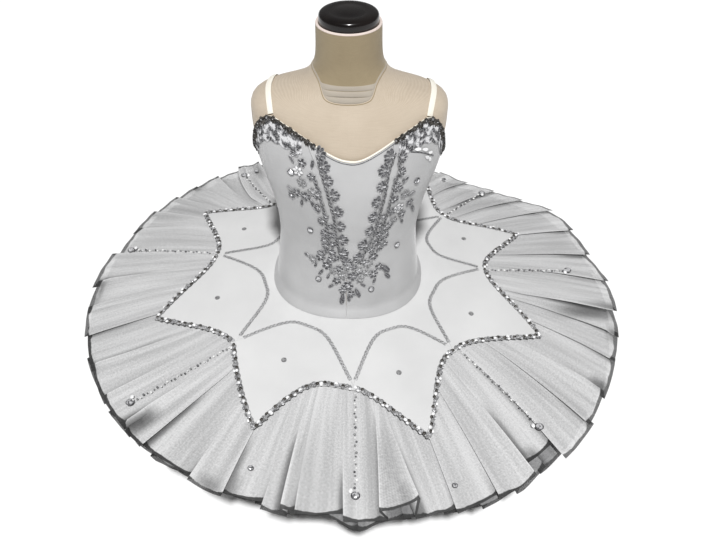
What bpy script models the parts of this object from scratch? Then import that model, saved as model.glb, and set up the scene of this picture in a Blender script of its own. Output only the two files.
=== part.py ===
"""Classical ballet tutu for a child, worn by a limbless dress form.

A satin bodice cut in five panels stands on a scalloped hip plate.  Four rows of
pleated net are sewn to a band round the hips and carry the plate.  The dress
form is a torso with a flat base, a covered neck and a turned cap.

Metres, +Z up, the front of the garment toward -Y, the form's base at z = 0.
An azimuth is measured in degrees from the front, positive toward +X.
"""

import math
from collections import namedtuple

import bmesh
import bpy
from mathutils import Vector

# Driving dimensions
HIP_LINE = 0.170            # height of the hip line, where plate and bodice meet
SEAM_GAP = 0.0003           # gap between pieces that are sewn or lie together
CLOTH = 0.0012              # wall of satin, lace and band
NET_WALL = 0.0014           # wall of one net row
ROOT_CLEAR = 0.0030         # root of a net row off the form, past the band
NET_RADIUS = 0.4085         # mean radius of the top net row at its hem
NET_FRONT_SHORT = 0.0085    # the hem reaches out less by this at the front
NET_SIDE_REACH = 0.008      # and further by this at the +X side
NET_FALL = 0.58             # fall of the skirt, metres per square metre of reach
FALL_START = 0.10           # radius where the skirt starts to fall
FRONT_DIP = 0.0145          # slope of the skirt toward the front
SIDE_DIP = 0.0137           # slope of the skirt toward +X
PLATE_WALL = 0.0015         # wall of the hip plate
NECK_SEAM = 0.3345          # seam at the foot of the neck, above the hip line
NECK_SEAM_DIP = 0.0305      # the seam dips by this at the front
NECK_SEAM_CURVE = 9         # a larger power makes the dip narrower
NECK_SEAT_HOLLOW = 0.0030   # the neck is hollowed under its middle, off the torso
CAP_RADIUS = 0.0374         # turned cap on the neck
CAP_THICKNESS = 0.0160
STRAP_WIDTH = 0.0075        # elastic shoulder strap
STRAP_REACH_TOP = 0.106     # a strap's distance from the centre line, over the shoulder
STRAP_REACH_ENDS = 0.098    # and at its ends

# Cross-sections of the dress form, from the base to the foot of the neck.
Section = namedtuple("Section", "height half_width half_depth forward sideways squareness")
FORM_SECTIONS = (
    Section(-0.170, 0.1060, 0.0880, 0.000, 0.0000, 2.3),
    Section(-0.120, 0.1105, 0.0945, 0.000, -0.0025, 2.3),
    Section(-0.060, 0.1105, 0.0960, 0.000, -0.0055, 2.3),
    Section(0.000, 0.1038, 0.0965, 0.004, -0.0065, 2.3),
    Section(0.050, 0.0985, 0.0890, 0.004, -0.0060, 2.2),
    Section(0.100, 0.0955, 0.0830, 0.003, -0.0050, 2.2),
    Section(0.150, 0.1030, 0.0830, 0.002, -0.0035, 2.2),
    Section(0.200, 0.1165, 0.0835, 0.000, -0.0025, 2.3),
    Section(0.245, 0.1260, 0.0785, -0.002, -0.0025, 2.4),
    Section(0.272, 0.1285, 0.0675, -0.004, -0.0025, 2.4),
    Section(0.290, 0.1265, 0.0575, -0.006, -0.0025, 2.4),
    Section(0.302, 0.1100, 0.0505, -0.007, -0.0025, 2.3),
    Section(0.311, 0.0770, 0.0465, -0.007, -0.0025, 2.2),
    Section(0.320, 0.0590, 0.0440, -0.007, -0.0025, 2.1),
    Section(0.331, 0.0490, 0.0425, -0.007, -0.0025, 2.0),
    Section(0.342, 0.0440, 0.0415, -0.007, -0.0025, 2.0),
    Section(0.356, 0.0420, 0.0408, -0.007, -0.0025, 2.0),
    Section(0.388, 0.0412, 0.0405, -0.007, -0.0025, 2.0),
)

# The upper edge of the bodice, from the centre front round to the centre back.
EdgePoint = namedtuple("EdgePoint", "azimuth height")
TOP_EDGE = (
    EdgePoint(0, 0.2400),
    EdgePoint(4, 0.2425),
    EdgePoint(12, 0.2520),
    EdgePoint(22, 0.2640),
    EdgePoint(34, 0.2750),
    EdgePoint(47, 0.2815),
    EdgePoint(60, 0.2700),
    EdgePoint(72, 0.2400),
    EdgePoint(90, 0.2130),
    EdgePoint(112, 0.2150),
    EdgePoint(132, 0.2350),
    EdgePoint(152, 0.2180),
    EdgePoint(180, 0.2100),
)
FRONT_TURN = 2.0            # turn of the neckline toward +X, degrees
FRONT_STRAP = 47.0          # azimuth of a strap's front end from the neckline's centre
BACK_STRAP = 132.0          # azimuth of a strap's back end
SIDE_SEAM = 83.0            # azimuth of the side seams

# The two seams of the centre front panel, from its point up to the neckline.
SeamPoint = namedtuple("SeamPoint", "height left right")
FRONT_SEAMS = (
    SeamPoint(0.066, 0.6, 0.6),
    SeamPoint(0.079, 0.3, 0.9),
    SeamPoint(0.087, -1.6, 3.8),
    SeamPoint(0.100, -3.2, 8.6),
    SeamPoint(0.125, -4.2, 13.6),
    SeamPoint(0.155, -5.4, 17.2),
    SeamPoint(0.185, -7.3, 18.8),
    SeamPoint(0.215, -10.6, 19.8),
    SeamPoint(0.235, -14.4, 20.4),
    SeamPoint(0.265, -19.5, 23.0),
)

# The eight petals of the hip plate.  Each row gives the seam that starts the
# petal, then its tip; the next row's seam ends it.  A scallop is the power of
# the edge's fall from the tip: 1 is straight, more is a deeper hollow.
Petal = namedtuple(
    "Petal", "seam seam_radius tip tip_radius first_scallop last_scallop arc_radius arc_shift"
)
PETALS = (
    Petal(-45.5, 0.228, -22.0, 0.314, 1.0, 4.2, 0.141, -0.12),
    Petal(2.4, 0.234, 20.5, 0.316, 1.35, 1.9, 0.142, 0.10),
    Petal(43.0, 0.220, 68.0, 0.301, 1.7, 1.7, 0.133, 0.00),
    Petal(93.5, 0.210, 113.5, 0.298, 1.7, 1.7, 0.134, 0.00),
    Petal(134.0, 0.211, 156.0, 0.298, 1.7, 1.7, 0.135, 0.00),
    Petal(178.0, 0.213, 199.0, 0.299, 1.7, 1.7, 0.136, 0.00),
    Petal(220.0, 0.216, 239.5, 0.301, 1.7, 1.7, 0.136, 0.00),
    Petal(262.5, 0.220, 289.5, 0.304, 1.7, 1.7, 0.136, 0.00),
)

# Slow waves of the hem: where each is centred and how wide it is, in degrees,
# and how far it rises and reaches out there.
HemWave = namedtuple("HemWave", "azimuth width rise reach")
HEM_WAVES = (
    HemWave(150, 19, -0.014, -0.017),
    HemWave(120, 12, 0.010, 0.006),
    HemWave(28, 13, 0.000, 0.010),
    HemWave(-80, 22, 0.000, 0.006),
    HemWave(-140, 30, 0.003, 0.003),
)

# Proportions of the bodice, the plate's trimming and the net
BODICE_CLEAR = 0.0022       # bodice wall off the form
HEM_FLARE_FRONT = 0.0090    # outward flare of the bodice hem at the front
HEM_FLARE_BACK = 0.0040     # and at the back
HEM_FLARE_REACH = 0.016     # height over which the hem flares
BINDING_HEIGHT = 0.0026
BINDING_WALL = 0.0016
TRIM_LIFT = 0.0021          # lace and braid off the bodice's inner face
TRIM_WALL = 0.0010          # wall of lace and braid
STRAP_FRONT_SWING = 29.5    # where a strap starts over the shoulder, degrees
STRAP_BACK_SWING = 198.0    # and where it ends, down the back
STRAP_CLEAR = 0.0010        # strap off the shoulder
BRAID_WIDTH = 0.0060        # scalloped braid on the bodice
PETAL_BRAID_WIDTH = 0.0050  # beaded braid round the petals
CORD_WIDTH = 0.0017         # cord on the arcs of the plate
ARC_POWER = 3.2             # squareness of the horseshoe arcs
SCALLOP_HOLLOW = 0.006      # hollow of a petal's edge inside its two ends
BAND_TOP = 0.012            # hip band, above the hip line
BAND_BOTTOM = -0.047        # and below it
NET_ROWS = 4
NET_FIRST_DROP = 0.0037     # top row under the surface of the plate
NET_ROW_DROP = 0.0110       # each further row under the one above
NET_ROW_STEP = 0.0092       # each further row's hem inside the one above
NET_MIDDLE = 0.255          # radius of a row's middle ring
PETAL_STEPS = 4             # columns from a petal's seam to its tip
PLEATS = 36
PLEAT_DEPTH = 0.0055        # depth of a pleat at the hem
PLEAT_STEP = 0.0140         # step of the hem from a pleat's free fold to its tucked end
PLEAT_START = 0.20          # radius where the pleats open
FORM_STEP = 7.5             # degrees between the form's ribs
SHOULDER_LEVEL = 0.262      # from here up the rings tilt toward the neck seam


def smooth(amount):
    amount = max(0.0, min(1.0, amount))
    return amount * amount * (3 - 2 * amount)


def blend_rows(rows, column, position):
    """Smoothly interpolated values of a table's other columns at a position."""
    keys = [getattr(row, column) for row in rows]
    values = [[v for f, v in zip(row._fields, row) if f != column] for row in rows]
    position = max(keys[0], min(keys[-1], position))
    last = len(keys) - 1
    start = max(i for i in range(last) if keys[i] <= position)
    span = keys[start + 1] - keys[start]
    t = (position - keys[start]) / span

    def slope(i, c):
        low, high = max(i - 1, 0), min(i + 1, last)
        return (values[high][c] - values[low][c]) / (keys[high] - keys[low])

    result = []
    for c in range(len(values[0])):
        ease_in = (t ** 3 - 2 * t * t + t) * span * slope(start, c)
        ease_out = (t ** 3 - t * t) * span * slope(start + 1, c)
        level = values[start][c] + (3 * t * t - 2 * t ** 3) * (values[start + 1][c] - values[start][c])
        result.append(level + ease_in + ease_out)
    return result


def power(value, exponent):
    return math.copysign(abs(value) ** exponent, value)


def form_point(azimuth, height):
    """Point of the form's surface; the height is above the hip line."""
    half_width, half_depth, forward, sideways, squareness = blend_rows(FORM_SECTIONS, "height", height)
    angle = math.radians(azimuth)
    x = sideways + half_width * power(math.sin(angle), 2 / squareness)
    y = -forward - half_depth * power(math.cos(angle), 2 / squareness)
    return Vector((x, y, HIP_LINE + height))


def body_point(azimuth, height, out):
    """Point off the form's surface by a distance along its normal."""
    step_round = form_point(azimuth + 1, height) - form_point(azimuth - 1, height)
    step_up = form_point(azimuth, height + 0.002) - form_point(azimuth, height - 0.002)
    return form_point(azimuth, height) + step_round.cross(step_up).normalized() * out


def skirt_height(x, y):
    fall = NET_FALL * max(math.hypot(x, y) - FALL_START, 0) ** 2
    return HIP_LINE - fall + FRONT_DIP * y - SIDE_DIP * x


def skirt_point(azimuth, radius, lift):
    """Point over the skirt's surface, at a radius from the form's axis."""
    angle = math.radians(azimuth)
    x = radius * math.sin(angle)
    y = -radius * math.cos(angle)
    return Vector((x, y, skirt_height(x, y) + lift))


def skirt_normal(azimuth, radius):
    outward = skirt_point(azimuth, radius + 0.001, 0) - skirt_point(azimuth, radius - 0.001, 0)
    sideways = skirt_point(azimuth + 0.5, radius, 0) - skirt_point(azimuth - 0.5, radius, 0)
    return outward.cross(sideways).normalized()


def body_radius(azimuth, height, out):
    """Radius of the form in the direction of an azimuth, and its point's height."""
    low, high = azimuth - 25.0, azimuth + 25.0
    for _ in range(30):
        middle = (low + high) / 2
        point = form_point(middle, height)
        turn = math.degrees(math.atan2(point.x, -point.y)) - azimuth
        turn = (turn + 180) % 360 - 180
        if turn > 0:
            high = middle
        else:
            low = middle
    point = form_point((low + high) / 2, height)
    return math.hypot(point.x, point.y) + out


def bodice_top(azimuth):
    turn = FRONT_TURN * max(0.0, math.cos(math.radians(azimuth)))
    side = abs((azimuth - turn + 180) % 360 - 180)
    return blend_rows(TOP_EDGE, "azimuth", side)[0]


def hem_flare(azimuth):
    front = (1 + math.cos(math.radians(azimuth))) / 2
    return HEM_FLARE_BACK + (HEM_FLARE_FRONT - HEM_FLARE_BACK) * front ** 2


def bodice_hem(azimuth):
    """Height of the bodice hem above the hip line: it stands on the plate."""
    edge = body_point(azimuth, 0.0, hem_flare(azimuth) + CLOTH)
    return skirt_height(edge.x, edge.y) + 1.8 * SEAM_GAP - HIP_LINE


def bodice_point(azimuth, height, out):
    """Point of the bodice, off its inner face; the height is above the hip line."""
    rise = (height - bodice_hem(azimuth)) / HEM_FLARE_REACH
    flare = hem_flare(azimuth) * (1 - smooth(rise)) ** 1.5
    point = body_point(azimuth, height, BODICE_CLEAR + flare + out)
    level = 1 - smooth((height - 0.14) / 0.08)      # below the bust it is moved out level
    point.z += (HIP_LINE + height - point.z) * level
    return point


# ---------------------------------------------------------------- mesh helpers


def add_material(part, name, colour, roughness, metallic=0.0, alpha=1.0):
    material = bpy.data.materials.get(name) or bpy.data.materials.new(name)
    material.use_nodes = True
    shader = material.node_tree.nodes["Principled BSDF"]
    shader.inputs["Base Color"].default_value = (*colour, 1.0)
    shader.inputs["Roughness"].default_value = roughness
    shader.inputs["Metallic"].default_value = metallic
    shader.inputs["Alpha"].default_value = alpha
    part.data.materials.append(material)


def add_part(name, corners, faces, finish, smooth_angle=None):
    """An object from corner points and faces, with its faces turned outward."""
    mesh = bpy.data.meshes.new(name)
    mesh.from_pydata([tuple(corner) for corner in corners], [], faces)
    shape = bmesh.new()
    shape.from_mesh(mesh)
    bmesh.ops.recalc_face_normals(shape, faces=shape.faces)
    shape.to_mesh(mesh)
    shape.free()
    if smooth_angle:
        mesh.shade_smooth()
        mesh.set_sharp_from_angle(angle=math.radians(smooth_angle))
    part = bpy.data.objects.new(name, mesh)
    bpy.context.collection.objects.link(part)
    add_material(part, *finish)
    return part


def add_wall(name, inner, outer, finish, wrap=False):
    """A wall of cloth between two grids of points, each a list of columns."""
    columns, rows = len(inner), len(inner[0])
    corners = [p for column in inner for p in column] + [p for column in outer for p in column]
    layer = columns * rows

    def at(column, row, side):
        return side * layer + (column % columns) * rows + row

    faces = []

    def add_patch(a, b, c, d):
        faces.extend(((a, b, c), (a, c, d)))

    spans = columns if wrap else columns - 1
    for i in range(spans):
        for j in range(rows - 1):
            for side in (0, 1):
                add_patch(at(i, j, side), at(i + 1, j, side), at(i + 1, j + 1, side), at(i, j + 1, side))
        for j in (0, rows - 1):
            add_patch(at(i, j, 0), at(i + 1, j, 0), at(i + 1, j, 1), at(i, j, 1))
    if not wrap:
        for i in (0, columns - 1):
            for j in range(rows - 1):
                add_patch(at(i, j, 0), at(i, j + 1, 0), at(i, j + 1, 1), at(i, j, 1))
    return add_part(name, corners, faces, finish, 40)


def add_strip(name, path, width, finish):
    """A flat strip along a path of (under point, upward unit vector, thickness)."""
    under, over = [], []
    for i, (point, up, thickness) in enumerate(path):
        ahead = path[min(i + 1, len(path) - 1)][0] - path[max(i - 1, 0)][0]
        across = up.cross(ahead).normalized() * (width / 2)
        under.append([point - across, point + across])
        over.append([point - across + up * thickness, point + across + up * thickness])
    return add_wall(name, under, over, finish)


def spread(start, end, count):
    return [start + (end - start) * i / (count - 1) for i in range(count)]


# ---------------------------------------------------------------- dress form

LINEN = ("linen", (0.60, 0.53, 0.43), 0.85)
NECK_LINEN = ("neck_linen", (0.42, 0.37, 0.28), 0.80)
LACQUER = ("black_lacquer", (0.02, 0.017, 0.015), 0.18)


def add_loft(name, rings, finish, smooth_angle):
    """A closed solid through rings of points, bottom to top, with flat ends."""
    count = len(rings[0])
    corners = [point for ring in rings for point in ring]
    faces = []
    for j in range(len(rings) - 1):
        for i in range(count):
            k = (i + 1) % count
            faces.append((j * count + i, j * count + k, (j + 1) * count + k, (j + 1) * count + i))
    top = (len(rings) - 1) * count
    faces.append(tuple(reversed(range(count))))
    faces.append(tuple(range(top, top + count)))
    return add_part(name, corners, faces, finish, smooth_angle)


def neck_seam(azimuth):
    front = (1 + math.cos(math.radians(azimuth))) / 2
    return NECK_SEAM - NECK_SEAM_DIP * front ** NECK_SEAM_CURVE


def seam_rings(azimuths, lift, hollow):
    """The seam at the foot of the neck and two rings inside it, raised to a low dome."""
    seam = [form_point(azimuth, neck_seam(azimuth) + lift) for azimuth in azimuths]
    top = FORM_SECTIONS[-1]
    centre = Vector((top.sideways, -top.forward, HIP_LINE + neck_seam(90) + lift + hollow))
    middle = [centre.lerp(point, 0.5) for point in seam]
    inner = [Vector((*centre.lerp(point, 0.15).xy, centre.z)) for point in seam]
    return [seam, middle, inner]


def build_form():
    azimuths = [i * FORM_STEP for i in range(int(360 / FORM_STEP))]
    levels = (-0.170, -0.135, -0.100, -0.070, BAND_BOTTOM, -0.018, BAND_TOP, 0.035, 0.060, 0.085,
              0.110, 0.135, 0.160, 0.185, 0.210, 0.230, 0.248, SHOULDER_LEVEL)
    rings = [[form_point(azimuth, level) for azimuth in azimuths] for level in levels]
    for part in (0.22, 0.42, 0.60, 0.76, 0.89):
        rings.append([form_point(a, SHOULDER_LEVEL + (neck_seam(a) - SHOULDER_LEVEL) * part)
                      for a in azimuths])
    add_loft("form_torso", rings + seam_rings(azimuths, 0.0, 0.0), LINEN, 50)

    top = FORM_SECTIONS[-1]
    neck_top = top.height
    rings = seam_rings(azimuths, SEAM_GAP, NECK_SEAT_HOLLOW)[::-1]
    for part in (0.12, 0.26, 0.42, 0.68, 1.0):
        rings.append([form_point(a, neck_seam(a) + SEAM_GAP + (neck_top - neck_seam(a) - SEAM_GAP) * part)
                      for a in azimuths])
    add_loft("form_neck", rings, NECK_LINEN, 50)

    base = HIP_LINE + neck_top + SEAM_GAP
    profile = ((CAP_RADIUS - 0.0015, 0.0), (CAP_RADIUS, 0.0020), (CAP_RADIUS, 0.0095),
               (CAP_RADIUS - 0.0025, 0.0130), (CAP_RADIUS - 0.0100, 0.0150), (0.010, CAP_THICKNESS))
    rings = []
    for radius, rise in profile:
        rings.append([Vector((top.sideways + radius * math.sin(math.radians(a)),
                              -top.forward - radius * math.cos(math.radians(a)),
                              base + rise)) for a in azimuths])
    add_loft("form_neck_cap", rings, LACQUER, 40)


# ---------------------------------------------------------------- bodice

SATIN = ("grey_satin", (0.52, 0.53, 0.54), 0.42)
PALE_SATIN = ("pale_satin", (0.60, 0.61, 0.62), 0.42)
IVORY = ("ivory_binding", (0.85, 0.83, 0.78), 0.6)
SILVER_LACE = ("silver_lace", (0.45, 0.45, 0.46), 0.45, 0.3)
SILVER_BRAID = ("silver_braid", (0.33, 0.33, 0.34), 0.4, 0.5)
BAND_CLOTH = ("band_cloth", (0.75, 0.75, 0.75), 0.7)


# The five panels of the bodice, from the centre back round to the centre back.
# A seam is an azimuth, or "left" or "right" for the seams of the centre front.
# The rows climb from the hem, 0, to the upper edge, 1, closer at the hem.
Panel = namedtuple("Panel", "name first last finish columns first_row")
PANELS = (
    Panel("bodice_back_left", -180.0, -SIDE_SEAM, SATIN, 10, 0),
    Panel("bodice_side_front_left", -SIDE_SEAM, "left", SATIN, 10, 0),
    Panel("bodice_centre_front", "left", "right", PALE_SATIN, 6, 4),
    Panel("bodice_side_front_right", "right", SIDE_SEAM, SATIN, 10, 0),
    Panel("bodice_back_right", SIDE_SEAM, 180.0, SATIN, 10, 0),
)
PANEL_CLIMBS = (0.0, 0.03, 0.075, 0.19, 0.335, 0.50, 0.65, 0.78, 0.90, 1.0)
HALF_SEAM = 0.09            # half of a seam's gap, in degrees round the bodice


def seam_azimuth(seam, height):
    """Azimuth of a seam of the bodice at a height."""
    left, right = blend_rows(FRONT_SEAMS, "height", height)
    return {"left": left, "right": right}.get(seam, seam)


def panel_place(panel, column, climb):
    """Azimuth and height of a panel's point, its climb from hem 0 to edge 1."""
    across = column / (panel.columns - 1)
    height = 0.12
    for _ in range(8):
        first = seam_azimuth(panel.first, height) + HALF_SEAM
        last = seam_azimuth(panel.last, height) - HALF_SEAM
        azimuth = first + (last - first) * across
        low = bodice_hem(azimuth)
        height = low + (bodice_top(azimuth) - low) * climb
    return azimuth, height


def build_bodice():
    for panel in PANELS:
        inner, outer = [], []
        for i in range(panel.columns):
            places = [panel_place(panel, i, climb) for climb in PANEL_CLIMBS[panel.first_row:]]
            inner.append([bodice_point(*place, 0.0) for place in places])
            outer.append([bodice_point(*place, CLOTH) for place in places])
        add_wall(panel.name, inner, outer, panel.finish)


def edge_places(first, last):
    """Azimuths and heights along the panels' upper edge, corner by corner."""
    corners = [panel_place(panel, i, 1.0) for panel in PANELS for i in range(panel.columns)]
    corners += [(azimuth + 360, height) for azimuth, height in corners]

    def cut(azimuth):
        before = max(place for place in corners if place[0] <= azimuth)
        after = min(place for place in corners if place[0] > azimuth)
        part = (azimuth - before[0]) / (after[0] - before[0])
        return azimuth, before[1] + (after[1] - before[1]) * part

    inside = [place for place in corners if first + 0.5 < place[0] < last - 0.5]
    return [cut(first), *inside, cut(last)]


def build_binding(name, first, last):
    """A narrow bound edge standing on the upper edge of the bodice."""
    inner, outer = [], []
    for azimuth, edge in edge_places(first, last):
        low = edge + SEAM_GAP
        high = low + BINDING_HEIGHT
        inner.append([bodice_point(azimuth, low, 0.0), bodice_point(azimuth, high, 0.0)])
        outer.append([bodice_point(azimuth, low, BINDING_WALL), bodice_point(azimuth, high, BINDING_WALL)])
    add_wall(name, inner, outer, IVORY)


def outside_form(point):
    """How far a point is outside the form's cross-section: below 0 is inside."""
    height = point.z - HIP_LINE
    half_width, half_depth, forward, sideways, squareness = blend_rows(FORM_SECTIONS, "height", height)
    across = abs((point.x - sideways) / half_width) ** squareness
    along = abs((point.y + forward) / half_depth) ** squareness
    return across + along - 1


def shoulder_point(side, swing):
    """Point on the shoulder and its normal; the swing goes from front to back."""
    angle = math.radians(swing)
    lean = max(0.0, math.sin(angle)) ** 2
    reach_out = STRAP_REACH_ENDS + (STRAP_REACH_TOP - STRAP_REACH_ENDS) * lean
    core = Vector((side * reach_out, 0.004, HIP_LINE + 0.262))
    direction = Vector((0, -math.cos(angle), math.sin(angle)))
    near, far = 0.0, 0.12
    for _ in range(40):
        reach = (near + far) / 2
        if outside_form(core + direction * reach) > 0:
            far = reach
        else:
            near = reach
    point = core + direction * near
    step = 0.0005
    steepness = [outside_form(point + Vector(axis) * step) - outside_form(point - Vector(axis) * step)
                 for axis in ((1, 0, 0), (0, 1, 0), (0, 0, 1))]
    return point, Vector(steepness).normalized()


def build_strap(name, side):
    path = []
    for swing in spread(STRAP_FRONT_SWING, STRAP_BACK_SWING, 17):
        point, normal = shoulder_point(side, swing)
        path.append((point + normal * STRAP_CLEAR, normal, CLOTH))
    add_strip(name, path, STRAP_WIDTH, IVORY)


def lay_on_bodice(name, points, width, finish, lift=TRIM_LIFT):
    """A strip of trimming along (azimuth, height) points of the bodice."""
    path = []
    for azimuth, height in points:
        under = bodice_point(azimuth, height, lift)
        up = (bodice_point(azimuth, height, lift + 0.01) - under).normalized()
        path.append((under, up, TRIM_WALL))
    add_strip(name, path, width, finish)


def lay_patch(name, centre, turn, length, width, finish):
    """A leaf-shaped lace motif on the bodice, its sizes in metres."""
    azimuth, height = centre
    radius = 0.095
    inner, outer = [], []
    for along in spread(-1, 1, 6):
        low, high = [], []
        half = 0.5 * width * (0.25 + 0.75 * math.sqrt(max(0.0, 1 - along * along)))
        for across in (-1, 0, 1):
            x = 0.5 * length * along * math.cos(turn) - half * across * math.sin(turn)
            z = 0.5 * length * along * math.sin(turn) + half * across * math.cos(turn)
            place = (azimuth + math.degrees(x / radius), height + z)
            low.append(bodice_point(*place, TRIM_LIFT))
            high.append(bodice_point(*place, TRIM_LIFT + TRIM_WALL))
        inner.append(low)
        outer.append(high)
    add_wall(name, inner, outer, finish)


# Rows of braid on the front, each a list of azimuths and heights from the top.
INNER_BRAIDS = {
    "braid_inner_left": ((-15.6, 0.233), (-13.0, 0.224), (-10.8, 0.212), (-8.6, 0.196), (-6.6, 0.172),
                         (-5.2, 0.146), (-4.6, 0.124), (-4.4, 0.106)),
    "braid_inner_right": ((21.6, 0.246), (20.0, 0.231), (19.9, 0.210), (19.1, 0.186), (18.4, 0.162),
                          (16.9, 0.139), (13.8, 0.117), (10.2, 0.098)),
}
OUTER_BRAIDS = {
    "braid_outer_left": ((-20.5, 0.196), (-18.6, 0.184), (-17.0, 0.170), (-15.6, 0.155), (-14.2, 0.138),
                         (-13.8, 0.120), (-16.0, 0.105), (-19.0, 0.095)),
    "braid_outer_right": ((29.6, 0.244), (27.6, 0.226), (26.2, 0.205), (26.0, 0.185), (26.0, 0.165),
                          (25.2, 0.148), (22.9, 0.130), (20.6, 0.112)),
}

# Lace motifs: centre as azimuth and height, turn in degrees, length and width.
Motif = namedtuple("Motif", "azimuth height turn length width")
MOTIFS = {
    "lace_motif_centre": Motif(1.2, 0.049, 90, 0.062, 0.026),
    "lace_motif_bust_left": Motif(-28.5, 0.211, 65, 0.050, 0.020),
    "lace_motif_bust_right": Motif(36.0, 0.183, 100, 0.056, 0.020),
    "lace_motif_low_left": Motif(-17.0, 0.077, 150, 0.032, 0.016),
    "lace_motif_low_right": Motif(23.0, 0.070, 125, 0.042, 0.018),
}


def build_cup_lace(name, first, last):
    """The lace band over a cup, below the neckline and the armhole edge."""
    inner, outer = [], []
    for azimuth in spread(first, last, 8):
        top = bodice_top(azimuth) - 0.0018
        heights = spread(top - 0.020, top, 3)
        inner.append([bodice_point(azimuth, height, TRIM_LIFT) for height in heights])
        outer.append([bodice_point(azimuth, height, TRIM_LIFT + TRIM_WALL) for height in heights])
    add_wall(name, inner, outer, SILVER_LACE)


def build_trimming():
    turn = FRONT_TURN
    strap = FRONT_STRAP
    build_binding("neckline_binding", turn - strap, turn + strap)
    build_binding("armhole_binding_left", -BACK_STRAP, turn - strap - 0.3)
    build_binding("armhole_binding_right", turn + strap + 0.3, BACK_STRAP)
    build_binding("back_binding", BACK_STRAP + 0.3, 360 - BACK_STRAP - 0.3)
    build_strap("strap_left", -1)
    build_strap("strap_right", 1)
    build_cup_lace("cup_lace_left", -70, -22)
    build_cup_lace("cup_lace_right", 26, 70)
    for name, points in {**INNER_BRAIDS, **OUTER_BRAIDS}.items():
        lay_on_bodice(name, points, BRAID_WIDTH, SILVER_BRAID)
    for name, motif in MOTIFS.items():
        lay_patch(name, (motif.azimuth, motif.height), math.radians(motif.turn), motif.length,
                  motif.width, SILVER_LACE)


# ---------------------------------------------------------------- hip plate

PLATE_SATIN = ("plate_satin", (0.86, 0.86, 0.85), 0.5)


def petal_span(number):
    """The petal's row, and the azimuth and radius of the seam that ends it."""
    petal = PETALS[number]
    after = PETALS[(number + 1) % len(PETALS)]
    end = after.seam + (360 if number + 1 == len(PETALS) else 0)
    return petal, end, after.seam_radius


def petal_azimuths(number):
    """Azimuths across a petal, closer together at its seams, with one at its tip."""
    petal, end, _ = petal_span(number)
    parts = [math.sin(math.pi / 2 * i / PETAL_STEPS) ** 1.3 for i in range(PETAL_STEPS)]
    first = [petal.seam + (petal.tip - petal.seam) * part for part in parts]
    last = [end - (end - petal.tip) * part for part in parts]
    return first + [petal.tip] + last[::-1]


def arc_radius(number, azimuth):
    """Radius of the horseshoe arc that a petal starts from."""
    petal, end, end_radius = petal_span(number)
    across = 2 * (azimuth - petal.seam) / (end - petal.seam) - 1
    seam_radius = petal.seam_radius + (end_radius - petal.seam_radius) * (across + 1) / 2 - 0.007
    moved = across - petal.arc_shift * (1 - across * across)
    return petal.arc_radius + (seam_radius - petal.arc_radius) * abs(moved) ** ARC_POWER


def edge_radius(number, azimuth):
    """Radius of a petal's scalloped outer edge."""
    petal, end, end_radius = petal_span(number)
    if azimuth <= petal.tip:
        away = (petal.tip - azimuth) / (petal.tip - petal.seam)
        foot, bend = petal.seam_radius, petal.first_scallop
    else:
        away = (azimuth - petal.tip) / (end - petal.tip)
        foot, bend = end_radius, petal.last_scallop
    hollow = SCALLOP_HOLLOW * math.sin(math.pi * max(0.0, min(1.0, away)))
    return foot + (petal.tip_radius - foot) * max(0.0, 1 - away) ** bend - hollow


def plate_wall(name, columns, finish=PLATE_SATIN, wrap=False):
    """A flat piece of the plate from columns of (azimuth, radii)."""
    under = [[skirt_point(azimuth, r, -PLATE_WALL) for r in radii] for azimuth, radii in columns]
    over = [[skirt_point(azimuth, r, 0.0) for r in radii] for azimuth, radii in columns]
    add_wall(name, under, over, finish, wrap)


def build_plate():
    yoke = []
    for number in range(len(PETALS)):
        for azimuth in petal_azimuths(number)[:-1]:
            start = body_radius(azimuth, 0.0, 8 * SEAM_GAP)
            end = arc_radius(number, azimuth) - SEAM_GAP
            yoke.append((azimuth, [start, start + 0.42 * (end - start), end]))
    plate_wall("plate_yoke", yoke, wrap=True)

    for number in range(len(PETALS)):
        azimuths = petal_azimuths(number)
        azimuths[0] += 0.04
        azimuths[-1] -= 0.04
        columns = []
        for azimuth in azimuths:
            start = arc_radius(number, azimuth) + SEAM_GAP
            end = edge_radius(number, azimuth)
            columns.append((azimuth, [start, (start + end) / 2, end]))
        plate_wall(f"plate_petal_{number + 1}", columns)


def lay_on_plate(name, places, width, thickness, finish):
    path = []
    for azimuth, radius in places:
        path.append((skirt_point(azimuth, radius, 1.5 * SEAM_GAP), skirt_normal(azimuth, radius), thickness))
    add_strip(name, path, width, finish)


def build_plate_trimming():
    for number in range(len(PETALS)):
        petal, end, _ = petal_span(number)
        azimuths = petal_azimuths(number)
        inset = 0.018 * (end - petal.seam)
        azimuths[0] += inset
        azimuths[-1] -= inset
        arc = [(azimuth, arc_radius(number, azimuth)) for azimuth in azimuths]
        lay_on_plate(f"petal_cord_{number + 1}", arc, CORD_WIDTH, CORD_WIDTH, SILVER_BRAID)
        edge = [(azimuth, edge_radius(number, azimuth) - 0.6 * PETAL_BRAID_WIDTH)
                for azimuth in azimuths]
        lay_on_plate(f"petal_braid_{number + 1}", edge, PETAL_BRAID_WIDTH, 0.0012, SILVER_BRAID)


# ---------------------------------------------------------------- net skirt

NET = ("stiff_net", (0.78, 0.78, 0.79), 0.8, 0.0, 0.6)


def pleat_start(number):
    return 360 / PLEATS * (number + 0.26 * math.sin(2.4 * number + 0.6) + 0.14 * math.sin(5.1 * number))


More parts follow.
